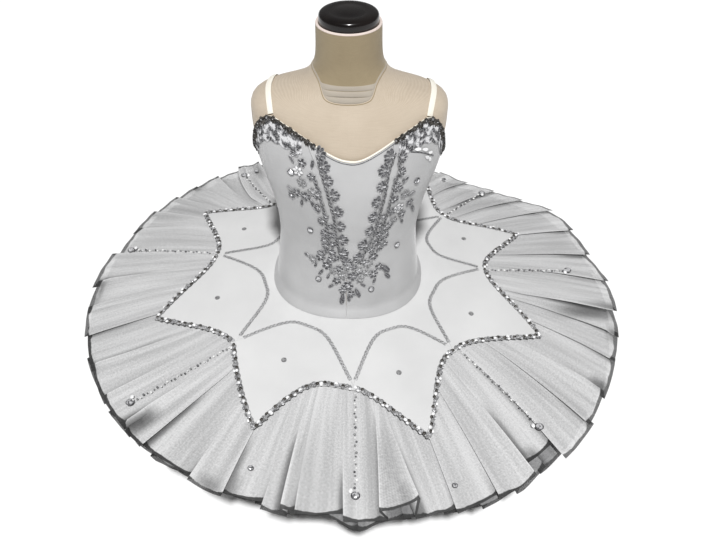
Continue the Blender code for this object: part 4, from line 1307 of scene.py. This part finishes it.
def buildMotifs():
    for name, (solid, flowers, leaves) in motifs.items():
        parts = newParts()
        for i, (azimuth, height, radius, petals, pale) in enumerate(flowers):
            fill = 3 if pale else 4 if i % 3 == 1 else 0
            addFlower(parts, bodiceSpot(azimuth, height), radius, petals, 0.7 * i, fill, 1, 2)
        for azimuth, height, turn, length in leaves:
            at = bodiceSpot(azimuth, height)
            angle = math.radians(turn)
            addLeaf(parts, at, (0, 0), angle, length, length * leaf["fill"], leaf["fillLift"], 0)
            addLoop(parts, at, (0, 0), angle, length, length * leaf["loop"], leaf["loopLift"],
                    leaf["loopThread"], 1, leaf["loopSteps"])
            steps = leaf["ribSteps"]
            rib = [at(math.cos(angle) * length * k / steps, math.sin(angle) * length * k / steps,
                      leaf["ribLift"]) for k in range(steps + 1)]
            addTube(parts, rib, leaf["rib"], 4, 1)
        piece = joined(name, parts, [finishes["darkThread"], finishes["silverThread"], finishes["gem"],
                                     finishes["whiteThread"], finishes["greyThread"]])
        place(piece, "silver_lace", solid)


buildMotifs()

bodiceStones = ((-26.3, 0.134), (-19.9, 0.055), (18.7, 0.040), (43.1, 0.101), (45.4, 0.206), (-32.0, 0.222),
                (35.2, 0.169), (1.5, 0.048))
# the dark piping under the right cup's lace, and white leaves by it that are a painted highlight
# on the satin: azimuth, height, turn, length
cupPiping = ((34.6, 0.2500), (38.5, 0.2485), (43.1, 0.2465), (48.0, 0.2430), (52.6, 0.2392), (57.1, 0.2355))
cupHighlightLeaves = ((37.0, 0.2525, -10, 0.010), (43.5, 0.2505, -18, 0.010), (47.5, 0.2400, -35, 0.009),
             (51.5, 0.2365, -50, 0.009), (50.0, 0.2440, -20, 0.008))
bodiceStone = {"radius": 0.0036, "lift": 0.0004, "shadowLineDrop": 0.0016, "line": 0.00045, "piping": 0.0007,
               "leafWidth": 0.0026}


def buildBodiceStones():
    parts = newParts()
    for azimuth, height in bodiceStones:
        centre, across, up, out = frameAt(bodiceSpot(azimuth, height), 0, 0, bodiceStone["lift"])
        addStone(parts, centre, across, up, out, bodiceStone["radius"], 0, 1)
    # a fine dark line under the neckline: a painted shadow under its binding
    line = [(a, bodiceTop(a) - bodiceStone["shadowLineDrop"]) for a in edgeRun(-15.0, 24.0, 1.5)]
    addTube(parts, [bodiceSpot(a, h)(0, 0, 0.0003) for a, h in line], bodiceStone["line"], 5, 1)
    addTube(parts, [bodiceSpot(a, h)(0, 0, 0.0004) for a, h in cupPiping], bodiceStone["piping"], 5, 1)
    # white leaves: painted highlight on the satin under the lace
    for azimuth, height, turn, length in cupHighlightLeaves:
        addLeaf(parts, bodiceSpot(azimuth, height), (0, 0), math.radians(turn), length,
                bodiceStone["leafWidth"], 0.0013, 2)
    piece = joined("bodiceStones", parts, [finishes["gem"], finishes["darkThread"], finishes["whiteThread"]],
                   15)
    addPiece(piece, "silver_braid")


buildBodiceStones()
print("tutu: lace and stones on the bodice")

# hip band, plate and its trimming

plate = {"wall": 0.0015, "arcPower": 3.2, "arcEnd": 0.007, "hollow": 0.006, "sway": 0.0012, "steps": 14,
         "yokeRows": 8, "petalRows": 16, "yokeGaps": 8, "seamTurn": 0.04}
petalCut = namedtuple("petalCut", "seam seamRadius tip tipRadius firstBend lastBend arc arcShift")
petals = tuple(petalCut(*cut) for cut in (
    (-45.5, 0.228, -22.0, 0.314, 1.0, 4.2, 0.141, -0.12),
    (2.4, 0.234, 20.5, 0.316, 1.35, 1.9, 0.142, 0.10),
    (43.0, 0.220, 68.0, 0.301, 1.7, 1.7, 0.133, 0.00),
    (93.5, 0.210, 113.5, 0.298, 1.7, 1.7, 0.134, 0.00),
    (134.0, 0.211, 156.0, 0.298, 1.7, 1.7, 0.135, 0.00),
    (178.0, 0.213, 199.0, 0.299, 1.7, 1.7, 0.136, 0.00),
    (220.0, 0.216, 239.5, 0.301, 1.7, 1.7, 0.136, 0.00),
    (262.5, 0.220, 289.5, 0.304, 1.7, 1.7, 0.136, 0.00),
))


def petalSpan(number):
    # a petal's cut, and where the next one begins
    after = petals[(number + 1) % len(petals)]
    return petals[number], after.seam + (360 if number + 1 == len(petals) else 0), after.seamRadius


def arcRadius(number, azimuth):
    # the arc where a petal meets the yoke
    petal, end, endRadius = petalSpan(number)
    across = 2 * (azimuth - petal.seam) / (end - petal.seam) - 1
    seam = petal.seamRadius + (endRadius - petal.seamRadius) * (across + 1) / 2 - plate["arcEnd"]
    moved = across - petal.arcShift * (1 - across * across)
    return petal.arc + (seam - petal.arc) * abs(moved) ** plate["arcPower"]


def edgeRadius(number, azimuth):
    # a petal's hollowed edge, out to its tip and back
    petal, end, endRadius = petalSpan(number)
    if azimuth <= petal.tip:
        away, foot, bend = (petal.tip - azimuth) / (petal.tip - petal.seam), petal.seamRadius, petal.firstBend
    else:
        away, foot, bend = (azimuth - petal.tip) / (end - petal.tip), endRadius, petal.lastBend
    hollow = plate["hollow"] * math.sin(math.pi * max(0.0, min(1.0, away)))
    return foot + (petal.tipRadius - foot) * max(0.0, 1 - away) ** bend - hollow


def petalAzimuths(number):
    petal, end, _ = petalSpan(number)
    steps = plate["steps"]
    parts = [math.sin(math.pi / 2 * i / steps) ** 1.3 for i in range(steps)]
    return ([petal.seam + (petal.tip - petal.seam) * p for p in parts] + [petal.tip]
            + [end - (end - petal.tip) * p for p in parts[::-1]])


def plateSway(azimuth, radius):
    # the stiff plate lifts and dips very slightly between its seams
    outward = smooth((radius - 0.15) / 0.15)
    return plate["sway"] * outward * noise.noise(Vector((azimuth * 0.045, radius * 9, 3.0)))


def plateColumns(spans, rows):
    under, over = [], []
    for azimuth, start, end in spans:
        radii = [start + (end - start) * j / rows for j in range(rows + 1)]
        lifts = [plateSway(azimuth, r) for r in radii]
        under.append([skirtPoint(azimuth, r, lift - plate["wall"]) for r, lift in zip(radii, lifts)])
        over.append([skirtPoint(azimuth, r, lift) for r, lift in zip(radii, lifts)])
    return under, over


def buildPlate():
    spans = []
    for number in range(len(petals)):
        for azimuth in petalAzimuths(number)[:-1]:
            inside = bodyRadius(azimuth, 0.0, plate["yokeGaps"] * seamGap)
            spans.append((azimuth, inside, arcRadius(number, azimuth) - seamGap))
    under, over = plateColumns(spans, plate["yokeRows"])
    yoke = clothWall("plateYoke", under, over, finishes["plateSatin"], True)
    place(yoke, "plate_satin", "plate_yoke")
    cutSheet(over, True)
    for number in range(len(petals)):
        azimuths = petalAzimuths(number)
        azimuths[0] += plate["seamTurn"]
        azimuths[-1] -= plate["seamTurn"]
        under, over = plateColumns([(a, arcRadius(number, a) + seamGap, edgeRadius(number, a))
                                    for a in azimuths], plate["petalRows"])
        piece = clothWall(f"platePetal{number + 1}", under, over, finishes["plateSatin"])
        place(piece, "plate_satin", f"plate_petal_{number + 1}")
        cutSheet(over)


buildPlate()
print("tutu: plate laid")

petalEdge = {"inset": 0.0030, "ribbon": 0.0066, "gimpPitch": 0.0080, "gimpSwing": 0.0022, "gimp": 0.00045,
             "pitch": 0.0050, "swing": 0.0011, "outward": 0.0034, "dark": (0.0027, 0.0023, 0.0013),
             "bright": (0.0024, 0.0019, 0.0013), "endTurn": 0.018}
petalCord = {"width": 0.0050, "pitch": 0.0058, "swing": 0.0014, "thread": 0.00050}
# which bead comes next along the edge, and just outside it: dark, silver, white, grey or gem
beadOrder = (0, 3, 0, 2, 4, 0, 3, 1, 0, 2)
outerOrder = (2, 1, 4, 3)


def buildPetalCord(number, azimuths):
    parts = newParts()
    arc = [(a, arcRadius(number, a)) for a in azimuths]
    addRibbon(parts, arc, plateSpot, petalCord["width"], 0.0004, 2, 0.003, scallop=0.18, pitch=0.0090)
    addGimp(parts, arc, plateSpot, petalCord["pitch"], petalCord["swing"], petalCord["thread"], (0, 1),
            0.0011)
    piece = joined(f"petalCord{number + 1}", parts, [finishes["paleThread"], finishes["greyThread"],
                                                     finishes["cordThread"]])
    place(piece, "silver_braid", f"petal_cord_{number + 1}")


def buildPetalBraid(number, azimuths):
    parts = newParts()
    edge = [(a, edgeRadius(number, a) - petalEdge["inset"]) for a in azimuths]
    addRibbon(parts, edge, plateSpot, petalEdge["ribbon"], 0.0004, 3, 0.003, scallop=0.20, pitch=0.0100)
    addGimp(parts, edge, plateSpot, petalEdge["gimpPitch"], petalEdge["gimpSwing"], petalEdge["gimp"],
            (1, 3), 0.0012)
    run = resample(edge, lambda a, b: skirtPoint(a, b, 0.001), petalEdge["pitch"])
    for i, (azimuth, radius) in enumerate(run):
        a, b = run[max(i - 1, 0)], run[min(i + 1, len(run) - 1)]
        heading = math.atan2(b[1] - a[1], math.radians(b[0] - a[0]) * radius)
        centre, across, up, out = frameAt(plateSpot(azimuth, radius), 0, 0, 0.0016)
        long = across * math.cos(heading) + up * math.sin(heading)
        away = across * -math.sin(heading) + up * math.cos(heading)
        addBall(parts, centre + away * (petalEdge["swing"] * math.sin(2.1 * i)), long, away, out,
                petalEdge["dark"], beadOrder[(i + 3 * number) % len(beadOrder)], 8, 4)
        if i % 2:
            addBall(parts, centre + away * petalEdge["outward"], long, away, out,
                    petalEdge["bright"], outerOrder[(i // 2) % len(outerOrder)], 8, 4)
    piece = joined(f"petalBraid{number + 1}", parts,
                   [finishes["blackThread"], finishes["silverThread"], finishes["whiteThread"],
                    finishes["greyThread"], finishes["gem"]])
    place(piece, "silver_braid", f"petal_braid_{number + 1}")


def buildPetalTrimming():
    for number in range(len(petals)):
        petal, end, _ = petalSpan(number)
        azimuths = petalAzimuths(number)
        inset = petalEdge["endTurn"] * (end - petal.seam)
        azimuths[0] += inset
        azimuths[-1] -= inset
        buildPetalCord(number, azimuths)
        buildPetalBraid(number, azimuths)


buildPetalTrimming()

plateStones = ((-116.7, 0.202), (-70.1, 0.210), (-24.6, 0.208), (19.1, 0.216), (63.2, 0.198),
               (114.7, 0.196), (155.0, 0.200), (199.0, 0.200))
plateStone = {"radius": 0.0030, "lift": 0.0013}


def buildPlateStones():
    parts = newParts()
    for azimuth, radius in plateStones:
        centre, across, up, out = frameAt(plateSpot(azimuth, radius), 0, 0, plateStone["lift"])
        addStone(parts, centre, across, up, out, plateStone["radius"], 0, 1)
    piece = joined("plateStones", parts, [finishes["gem"], finishes["greyThread"]], 15)
    addPiece(piece, "silver_braid")


buildPlateStones()

hipBand = {"bottom": -0.047, "clear": 0.0004, "wall": 0.0012, "rows": 12}


def buildHipBand(name, first, last, solid):
    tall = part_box(solid)[1][2] - hipLine - hipBand["bottom"]
    rows = hipBand["rows"]
    inner, outer = [], []
    for azimuth in edgeRun(first, last, 3.0):
        heights = [hipBand["bottom"] + tall * j / rows for j in range(rows + 1)]
        inner.append([bodyPoint(azimuth, h, hipBand["clear"]) for h in heights])
        outer.append([bodyPoint(azimuth, h, hipBand["clear"] + hipBand["wall"]) for h in heights])
    piece = place(clothWall(name, inner, outer, finishes["bandCotton"]), "band_cloth", solid)
    cutSheet(outer)


buildHipBand("hipBandFront", -89.7, 89.7, "hip_band_front")
buildHipBand("hipBandBack", 90.3, 269.7, "hip_band_back")
print("tutu: trimming and hip band done")

# net skirt

net = {"rows": 4, "firstDrop": 0.0037, "rowDrop": 0.0110, "rowStep": 0.0092, "depth": 0.0058,
       "radius": 0.4060, "frontShort": 0.0085, "sideReach": 0.0080, "opens": 0.20, "radial": 26,
       "tuck": 1.5, "rootTuck": 3.2, "clear": 0.0032, "flutter": 0.0009}
# how a pleat lies: the power of its slope, its lift where it tucks under, and the swell between
pleat = {"slope": 0.8, "under": 0.12, "swell": 0.16, "leanMost": 1.3, "leanOver": 0.4, "rootPower": 1.4,
         "radialPower": 0.92, "fine": (0.0, 0.35, 0.8, 1.5), "halfTuck": 0.7, "narrow": 3.6,
         "leastGap": 0.3, "stop": 1.1}
# the lower rows reach further than the rest at one place: azimuth, width and how far
frontFall = (3.0, 3.4, 0.0150)
# painted shade and painted highlights inside the folds, and the width of the painted shade along the hem's
# edge
shading = {"hollow": 0.36, "start": 0.05, "highlightTone": 0.42, "edge": 0.0028, "shadowTone": 0.46,
           "shadow": 0.0075, "rimBack": 1.5, "rimBackTurn": 1.4, "rimCorner": 1.1, "rimCornerWidth": 1.2}

# slow waves of the hem: azimuth, width, rise, reach
hemWaves = ((150, 19, -0.014, -0.017), (120, 12, 0.010, 0.006), (28, 13, 0.000, 0.010),
            (-80, 22, 0.000, 0.006), (-140, 30, 0.003, 0.003))

# folds of the top row, from the front left round the front and the back: azimuth at the hem,
# how far it leans inward, 1 where the next pleat lies on top and -1 where the one before does,
# hem radius of the pleat before and after, radius where its painted shade and highlight begin,
# strength of the painted shade and highlight
netFold = namedtuple("netFold", "azimuth lean over before after shadeFrom shade")
topFolds = tuple(netFold(*cut) for cut in (
    (-57.0, 2.8, 1, 0.4060, 0.4040, 0.330, 0.40), (-49.0, 3.5, 1, 0.4015, 0.3985, 0.285, 0.60),
    (-41.6, 2.6, -1, 0.4030, 0.3975, 0.285, 1.00), (-29.4, 0.2, 1, 0.3915, 0.3995, 0.350, 0.65),
    (-22.0, 0.0, -1, 0.3995, 0.3930, 0.300, 0.80), (-14.4, 0.4, 1, 0.3880, 0.3985, 0.345, 0.40),
    (-11.0, -0.5, 1, 0.3980, 0.3935, 0.285, 0.90), (-8.3, -0.6, 1, 0.3890, 0.3955, 0.345, 0.50),
    (0.5, -0.8, 1, 0.3880, 0.3995, 0.320, 0.90), (6.9, 1.4, 1, 0.3970, 0.3890, 0.255, 0.45),
    (14.8, -2.9, -1, 0.3810, 0.4000, 0.300, 0.75), (20.6, 0.0, 1, 0.3990, 0.4075, 0.360, 0.35),
    (29.0, 0.0, 1, 0.4010, 0.4090, 0.360, 0.40), (37.7, -0.4, -1, 0.4060, 0.3880, 0.285, 1.00),
    (44.6, 0.6, 1, 0.3880, 0.4130, 0.225, 0.40), (54.0, 0.5, 1, 0.4115, 0.4085, 0.330, 0.40),
    (63.8, -0.8, -1, 0.4050, 0.4090, 0.320, 0.50), (72.5, 0.4, 1, 0.4100, 0.4085, 0.350, 0.45),
    (80.5, -0.5, 1, 0.4130, 0.4150, 0.340, 0.40), (88.8, -4.0, 1, 0.4120, 0.4200, 0.275, 1.10),
    (97.6, -1.0, 1, 0.4200, 0.4230, 0.330, 0.35), (106.3, -2.0, 1, 0.4120, 0.4160, 0.330, 0.75),
    (115.0, -1.0, 1, 0.4180, 0.4210, 0.340, 0.55), (123.8, -0.5, 1, 0.4240, 0.4280, 0.330, 0.55),
    (131.2, 0.0, 1, 0.4080, 0.4060, 0.290, 0.50), (139.2, -1.0, 1, 0.3960, 0.3920, 0.225, 0.85),
    (147.6, 0.5, 1, 0.3910, 0.3900, 0.290, 0.55), (156.2, 0.0, -1, 0.3925, 0.3930, 0.300, 0.60),
    (164.0, 0.8, 1, 0.4000, 0.4030, 0.320, 0.50), (174.5, -0.6, 1, 0.4070, 0.4110, 0.300, 0.80),
    (181.6, 0.0, -1, 0.4060, 0.4090, 0.330, 0.55), (192.0, 0.6, 1, 0.4110, 0.4070, 0.310, 0.70),
    (199.8, 0.0, 1, 0.4090, 0.4140, 0.345, 0.40), (208.2, 2.5, 1, 0.4020, 0.4170, 0.300, 0.65),
    (213.8, 7.5, -1, 0.4190, 0.4080, 0.230, 0.95), (220.4, 4.5, 1, 0.4060, 0.4110, 0.300, 0.55),
    (227.0, 2.0, 1, 0.4110, 0.4130, 0.330, 0.45), (233.6, 1.0, 1, 0.4080, 0.4120, 0.320, 0.55),
    (241.0, 0.0, 1, 0.4110, 0.4150, 0.320, 0.40), (248.4, -1.2, 1, 0.4130, 0.4060, 0.330, 0.60),
    (258.3, 1.2, 1, 0.4040, 0.4160, 0.225, 0.45), (267.5, 1.6, 1, 0.4210, 0.4120, 0.300, 0.95),
    (276.0, 1.0, 1, 0.4140, 0.4130, 0.320, 0.45), (285.2, 2.0, -1, 0.4120, 0.4080, 0.310, 0.50),
    (293.6, 4.2, 1, 0.4070, 0.4050, 0.275, 0.65),
))

# where the top row sinks, with painted shade in its colour: azimuth, half width at the hem and lean
# toward the waist in degrees, radius where it starts, depth of the sinking and of the painted shade
hollows = (
    (88.5, 4.6, -9.0, 0.285, 1.0), (80.5, 4.0, 0.0, 0.392, 0.9), (65.0, 2.4, 0.0, 0.376, 1.0),
    (-89.0, 7.5, 0.0, 0.388, 0.75), (-47.6, 3.6, 3.0, 0.348, 1.35),
    (-25.5, 4.2, 0.0, 0.374, 0.62), (-20.6, 1.6, 0.0, 0.360, 0.50),
    (-8.6, 1.8, 0.0, 0.374, 0.50), (12.4, 2.6, -0.6, 0.345, 0.45), (40.3, 2.4, -1.0, 0.372, 0.80),
    (-66.0, 5.0, 0.0, 0.400, 0.50), (-133.0, 5.0, 2.0, 0.375, 0.60), (-150.0, 2.2, 3.0, 0.300, 0.70),
    (150.0, 2.6, -2.0, 0.290, 0.45), (-8.5, 8.0, 0.0, 0.245, 0.24), (9.5, 7.0, 0.0, 0.250, 0.22),
    (-31.0, 6.0, 0.0, 0.300, 0.14), (-120.0, 14.0, 0.0, 0.280, 0.14),
)


def hollowDepth(azimuth, radius, reach):
    most = 0.0
    for centre, half, lean, start, depth in hollows:
        if radius > start:
            part = min(1.0, (radius - start) / max(0.01, reach - start))
            away = foldAngle(azimuth - centre - lean * (1 - part))
            most = max(most, depth * smooth(1.6 * part) * (1 - smooth(abs(away) / half)))
    return most


def hemWave(azimuth):
    rise = reach = 0.0
    for centre, width, up, out in hemWaves:
        away = foldAngle(azimuth - centre)
        share = math.exp(-(away / width) ** 2)
        rise += up * share
        reach += out * share
    return rise, reach


def netPoint(azimuth, radius, hem, lift, row):
    # lift is 1 on top of a pleat and 0 where the cloth tucks under
    opening = max(0.0, min(1.1, (radius - net["opens"]) / (hem - net["opens"])))
    drop = net["firstDrop"] + net["rowDrop"] * row
    sink = drop + net["depth"] * opening * (1 - lift) - hemWave(azimuth)[0] * opening ** 2
    flutter = net["flutter"] * opening * noise.noise(Vector((azimuth * 0.13, radius * 14, row * 7.0)))
    return skirtPoint(azimuth, radius, flutter - sink)


def rowFolds(row):
    # the lower rows are cut the same, with folds of their own between the top row's
    if row == 0:
        return list(topFolds)
    rng = random.Random(40 + row)
    folds = []
    azimuth = -178.0
    while azimuth < 175:
        angle = math.radians(azimuth)
        reach = net["radius"] - net["rowStep"] * row - net["frontShort"] * max(0.0, math.cos(angle)) ** 2
        reach += net["sideReach"] * math.sin(angle) ** 2 + hemWave(azimuth)[1] + rng.uniform(-0.003, 0.003)
        folds.append(netFold(
            azimuth, rng.uniform(-1.5, 1.5), rng.choice((1, 1, -1)), reach + rng.uniform(-0.003, 0.001),
            reach + rng.uniform(0.0, 0.004), rng.uniform(0.28, 0.36), rng.uniform(0.3, 0.9)))
        azimuth += rng.uniform(5.5, 10.5)
    return folds


def pleatStops(width, overStart, overEnd):
    # places across a pleat, in degrees from its first fold, closer together at its folds
    fine, half, full = list(pleat["fine"]), pleat["halfTuck"], net["tuck"]
    stops = fine if overStart else [-full, -half] + fine
    ends = [width - f for f in reversed(fine)] + ([] if overEnd else [width + half, width + full])
    low, high = stops[-1], ends[0]
    if high - low < pleat["leastGap"]:
        # a narrow pleat draws its stops together
        stops = [f * width / pleat["narrow"] if f > 0 else f for f in stops]
        ends = [width - (width - f) * width / pleat["narrow"] if f < width else f for f in ends]
        low, high = stops[-1], ends[0]
    count = max(1, round((high - low) / pleat["stop"]))
    return stops + [low + (high - low) * k / count for k in range(1, count)] + ends


def pleatRise(part, high, overStart, overEnd, number):
    # how high the cloth lies at one place across a pleat
    rise = high * (1 - part) ** pleat["slope"] if overStart else high * pleat["under"]
    if overEnd:
        rise = max(rise, high * part ** pleat["slope"])
    swell = pleat["swell"] * math.sin(3 * math.pi * part + number) * math.sin(math.pi * part)
    return max(0.0, rise + swell)


def buildNetRow(row):
    folds = rowFolds(row)
    rng = random.Random(60 + row)
    bulges = [rng.uniform(0.75, 1.0) for _ in folds]
    fallAzimuth, fallWidth, fall = frontFall
    columns, marks = [], []
    for i, fold in enumerate(folds):
        after = folds[(i + 1) % len(folds)]
        width = after.azimuth + (360 if i + 1 == len(folds) else 0) - fold.azimuth
        overStart, overEnd = fold.over > 0, after.over < 0
        for stop in pleatStops(width, overStart, overEnd):
            part = max(0.0, min(1.0, stop / width))
            rise = pleatRise(part, bulges[i], overStart, overEnd, i)
            outside = min(stop, 0.0) + max(stop - width, 0.0)
            points, shades = [], []
            for j in range(net["radial"] + 1):
                share = j / net["radial"]
                inward = min(pleat["leanMost"], (1 - share) / pleat["leanOver"])
                lean = (fold.lean + (after.lean - fold.lean) * part) * inward
                deeper = outside * net["rootTuck"] * (1 - share) ** pleat["rootPower"]
                azimuth = fold.azimuth + stop + lean + deeper
                reach = fold.after + (after.before - fold.after) * part
                if row:
                    reach += fall * math.exp(-(foldAngle(azimuth - fallAzimuth) / fallWidth) ** 2)
                root = rootRadius(azimuth, row)
                radius = root + (reach - root) * share ** pleat["radialPower"]
                hollow = hollowDepth(azimuth, radius, reach) if row == 0 else 0.0
                points.append(netPoint(azimuth, radius, reach, rise * max(0.0, 1 - hollow), row))
                # painted shade and highlight at the folds, with more painted shade in the hollows
                tone = foldShade(fold, after, stop, width, radius, reach) - shading["hollow"] * hollow
                shades.append((max(0.0, min(1.0, tone)), (reach - radius) / rimGrow(azimuth, stop, width)))
            columns.append(points)
            marks.append(shades)
    return columns, marks


def rimGrow(azimuth, stop, width):
    # the painted shade along the hem's edge is wider at the back and at each pleat's corners
    back = smooth((1 - math.cos(math.radians(azimuth))) / shading["rimBackTurn"])
    corner = math.exp(-min(abs(stop), abs(width - stop)) / shading["rimCornerWidth"])
    return 1.0 + shading["rimBack"] * back + shading["rimCorner"] * corner


def foldShade(fold, after, stop, width, radius, reach):
    # painted into the net's colour: 0.5 is plain cloth, less is painted shade and more is a painted highlight
    # on a fold's edge
    tone = 0.5
    for mark, away, over in ((fold, stop, fold.over > 0), (after, width - stop, after.over < 0)):
        past = radius - mark.shadeFrom
        grow = smooth(past / shading["start"]) * (0.5 + 0.5 * min(1.0, past / (reach - mark.shadeFrom)))
        metres = math.radians(away) * radius
        if over:
            tone += shading["highlightTone"] * mark.shade * grow * max(0.0, 1 - metres / shading["edge"])
        else:
            reachOut = shading["shadow"] * (0.5 + mark.shade)
            tone -= shading["shadowTone"] * mark.shade * grow * (1 - smooth(metres / reachOut))
    return max(0.0, min(1.0, tone))


rootCache = {}


def rootRadius(azimuth, row):
    key = (round(azimuth) % 360, row)
    if key not in rootCache:
        rootCache[key] = bodyRadius(key[0], -(net["firstDrop"] + net["rowDrop"] * row), net["clear"])
    return rootCache[key]


def addFoldLayer(piece, marks):
    # keeps each point's painted shade and highlight and its distance to the hem in a second layer of
    # coordinates
    values = [value for column in marks + [marks[0]] for value in column]
    layer = piece.data.uv_layers.new(name="fold")
    for loop, entry in zip(piece.data.loops, layer.data):
        entry.uv = values[loop.vertex_index]


def buildNet():
    for row in range(net["rows"]):
        columns, marks = buildNetRow(row)
        # lower rows get the darker net, painted shade under the top row
        finish = finishes["netTop" if row == 0 else "netUnderShaded"]
        piece = clothSheet(f"netRow{row + 1}", columns, finish, True)
        addFoldLayer(piece, marks)
        place(piece, "stiff_net", f"net_row_{row + 1}")
        cutSheet(columns, True)


buildNet()
print("tutu: net pleated")

# bead lines on the net: azimuth and radius at both ends, with a stone at the outer one
beadLines = (
    (3.0, 0.238, 2.7, 0.371), (44.8, 0.226, 44.9, 0.365), (93.5, 0.214, 98.3, 0.350),
    (-99.0, 0.226, -101.8, 0.379), (-45.5, 0.233, -51.0, 0.378), (134.5, 0.216, 139.0, 0.345),
    (178.0, 0.218, 180.0, 0.362), (220.5, 0.222, 216.0, 0.360),
)
looseStones = ((21.9, 0.377), (-18.8, 0.358), (152.0, 0.340), (-148.0, 0.360))
lineBeads = {"pitch": 0.0048, "size": 0.0016, "stone": 0.0046, "loose": 0.0030, "sway": 0.25, "uneven": 0.2,
             "order": (0, 3, 2, 0, 3, 0, 2, 3), "end": (0.0028, 0.0036, 0.0018), "endTurn": 0.9,
             "endGap": 0.0062, "lift": 0.0010}


def netTop(azimuth, radius):
    opening = max(0.0, (radius - net["opens"]) / (net["radius"] - net["opens"]))
    rise = hemWave(azimuth)[0] * opening ** 2
    return skirtPoint(azimuth, radius, lineBeads["lift"] - net["firstDrop"] + rise)


def buildNetBeads():
    parts = newParts()
    level = Vector((1, 0, 0)), Vector((0, 1, 0)), Vector((0, 0, 1))
    order = lineBeads["order"]
    for a0, r0, a1, r1 in beadLines:
        count = round((r1 - r0) / lineBeads["pitch"])
        for i in range(count):
            t = i / count
            azimuth = a0 + (a1 - a0) * t + lineBeads["sway"] * math.sin(i * 1.9)
            size = lineBeads["size"] * (1 + lineBeads["uneven"] * math.sin(i * 2.7))
            addBall(parts, netTop(azimuth, r0 + (r1 - r0) * t), *level, (size, size, size * 0.8),
                    order[i % len(order)], 6, 4)
        addStone(parts, netTop(a1, r1), *level, lineBeads["stone"], 1, 2)
        # a white bead just inside each end stone: the stone's glint, put in as a painted highlight
        addBall(parts, netTop(a1 - lineBeads["endTurn"], r1 - lineBeads["endGap"]), *level,
                lineBeads["end"], 4, 8, 4)
    for azimuth, radius in looseStones:
        addStone(parts, netTop(azimuth, radius), *level, lineBeads["loose"], 1, 2)
    piece = joined("netBeads", parts, [finishes["pearl"], finishes["gem"], finishes["darkThread"],
                                       finishes["greyThread"], finishes["whiteThread"]], 15)
    addPiece(piece, "silver_braid")


buildNetBeads()
print("tutu: beads and stones on the net")

# floor and light

studio = {"floor": 0.92, "floorTones": (0.90, 0.93), "floorHalf": 6, "floorDrop": 0.0005, "sky": 0.18,
          "sun": 3.71, "sunSize": 5.0, "sunFrom": (0.085, -1.03, 2.19), "sunAt": (0.0, 0.0, 0.25)}


def buildStudio():
    finish, tree, shader = newFinish("paleFloor", grey(studio["floor"]), 0.9)
    grain = blotches(tree, objectCoordinates(tree), 3.0, 2.0)
    darker, lighter = studio["floorTones"]
    tree.links.new(ramp(tree, grain, ((0.0, grey(darker)), (1.0, grey(lighter)))),
                   shader.inputs["Base Color"])
    half = studio["floorHalf"]
    corners = (-half, -half), (half, -half), (half, half), (-half, half)
    floor = makePiece("floor", [Vector((x, y, -studio["floorDrop"])) for x, y in corners], [(0, 1, 2, 3)],
                      [finish])
    light = bpy.data.lights.new("keyLight", "SUN")
    light.energy = studio["sun"]
    light.angle = math.radians(studio["sunSize"])
    lamp = bpy.data.objects.new("keyLight", light)
    bpy.context.collection.objects.link(lamp)
    aim(lamp, studio["sunFrom"], studio["sunAt"])
    world = bpy.data.worlds.new("studioSky")
    bpy.context.scene.world = world
    world.use_nodes = True
    world.node_tree.nodes["Background"].inputs["Color"].default_value = (1, 1, 1, 1)
    world.node_tree.nodes["Background"].inputs["Strength"].default_value = studio["sky"]


buildStudio()
bpy.context.scene.view_settings.view_transform = "Standard"  # plain tones, whites kept white
print("tutu: studio lit")
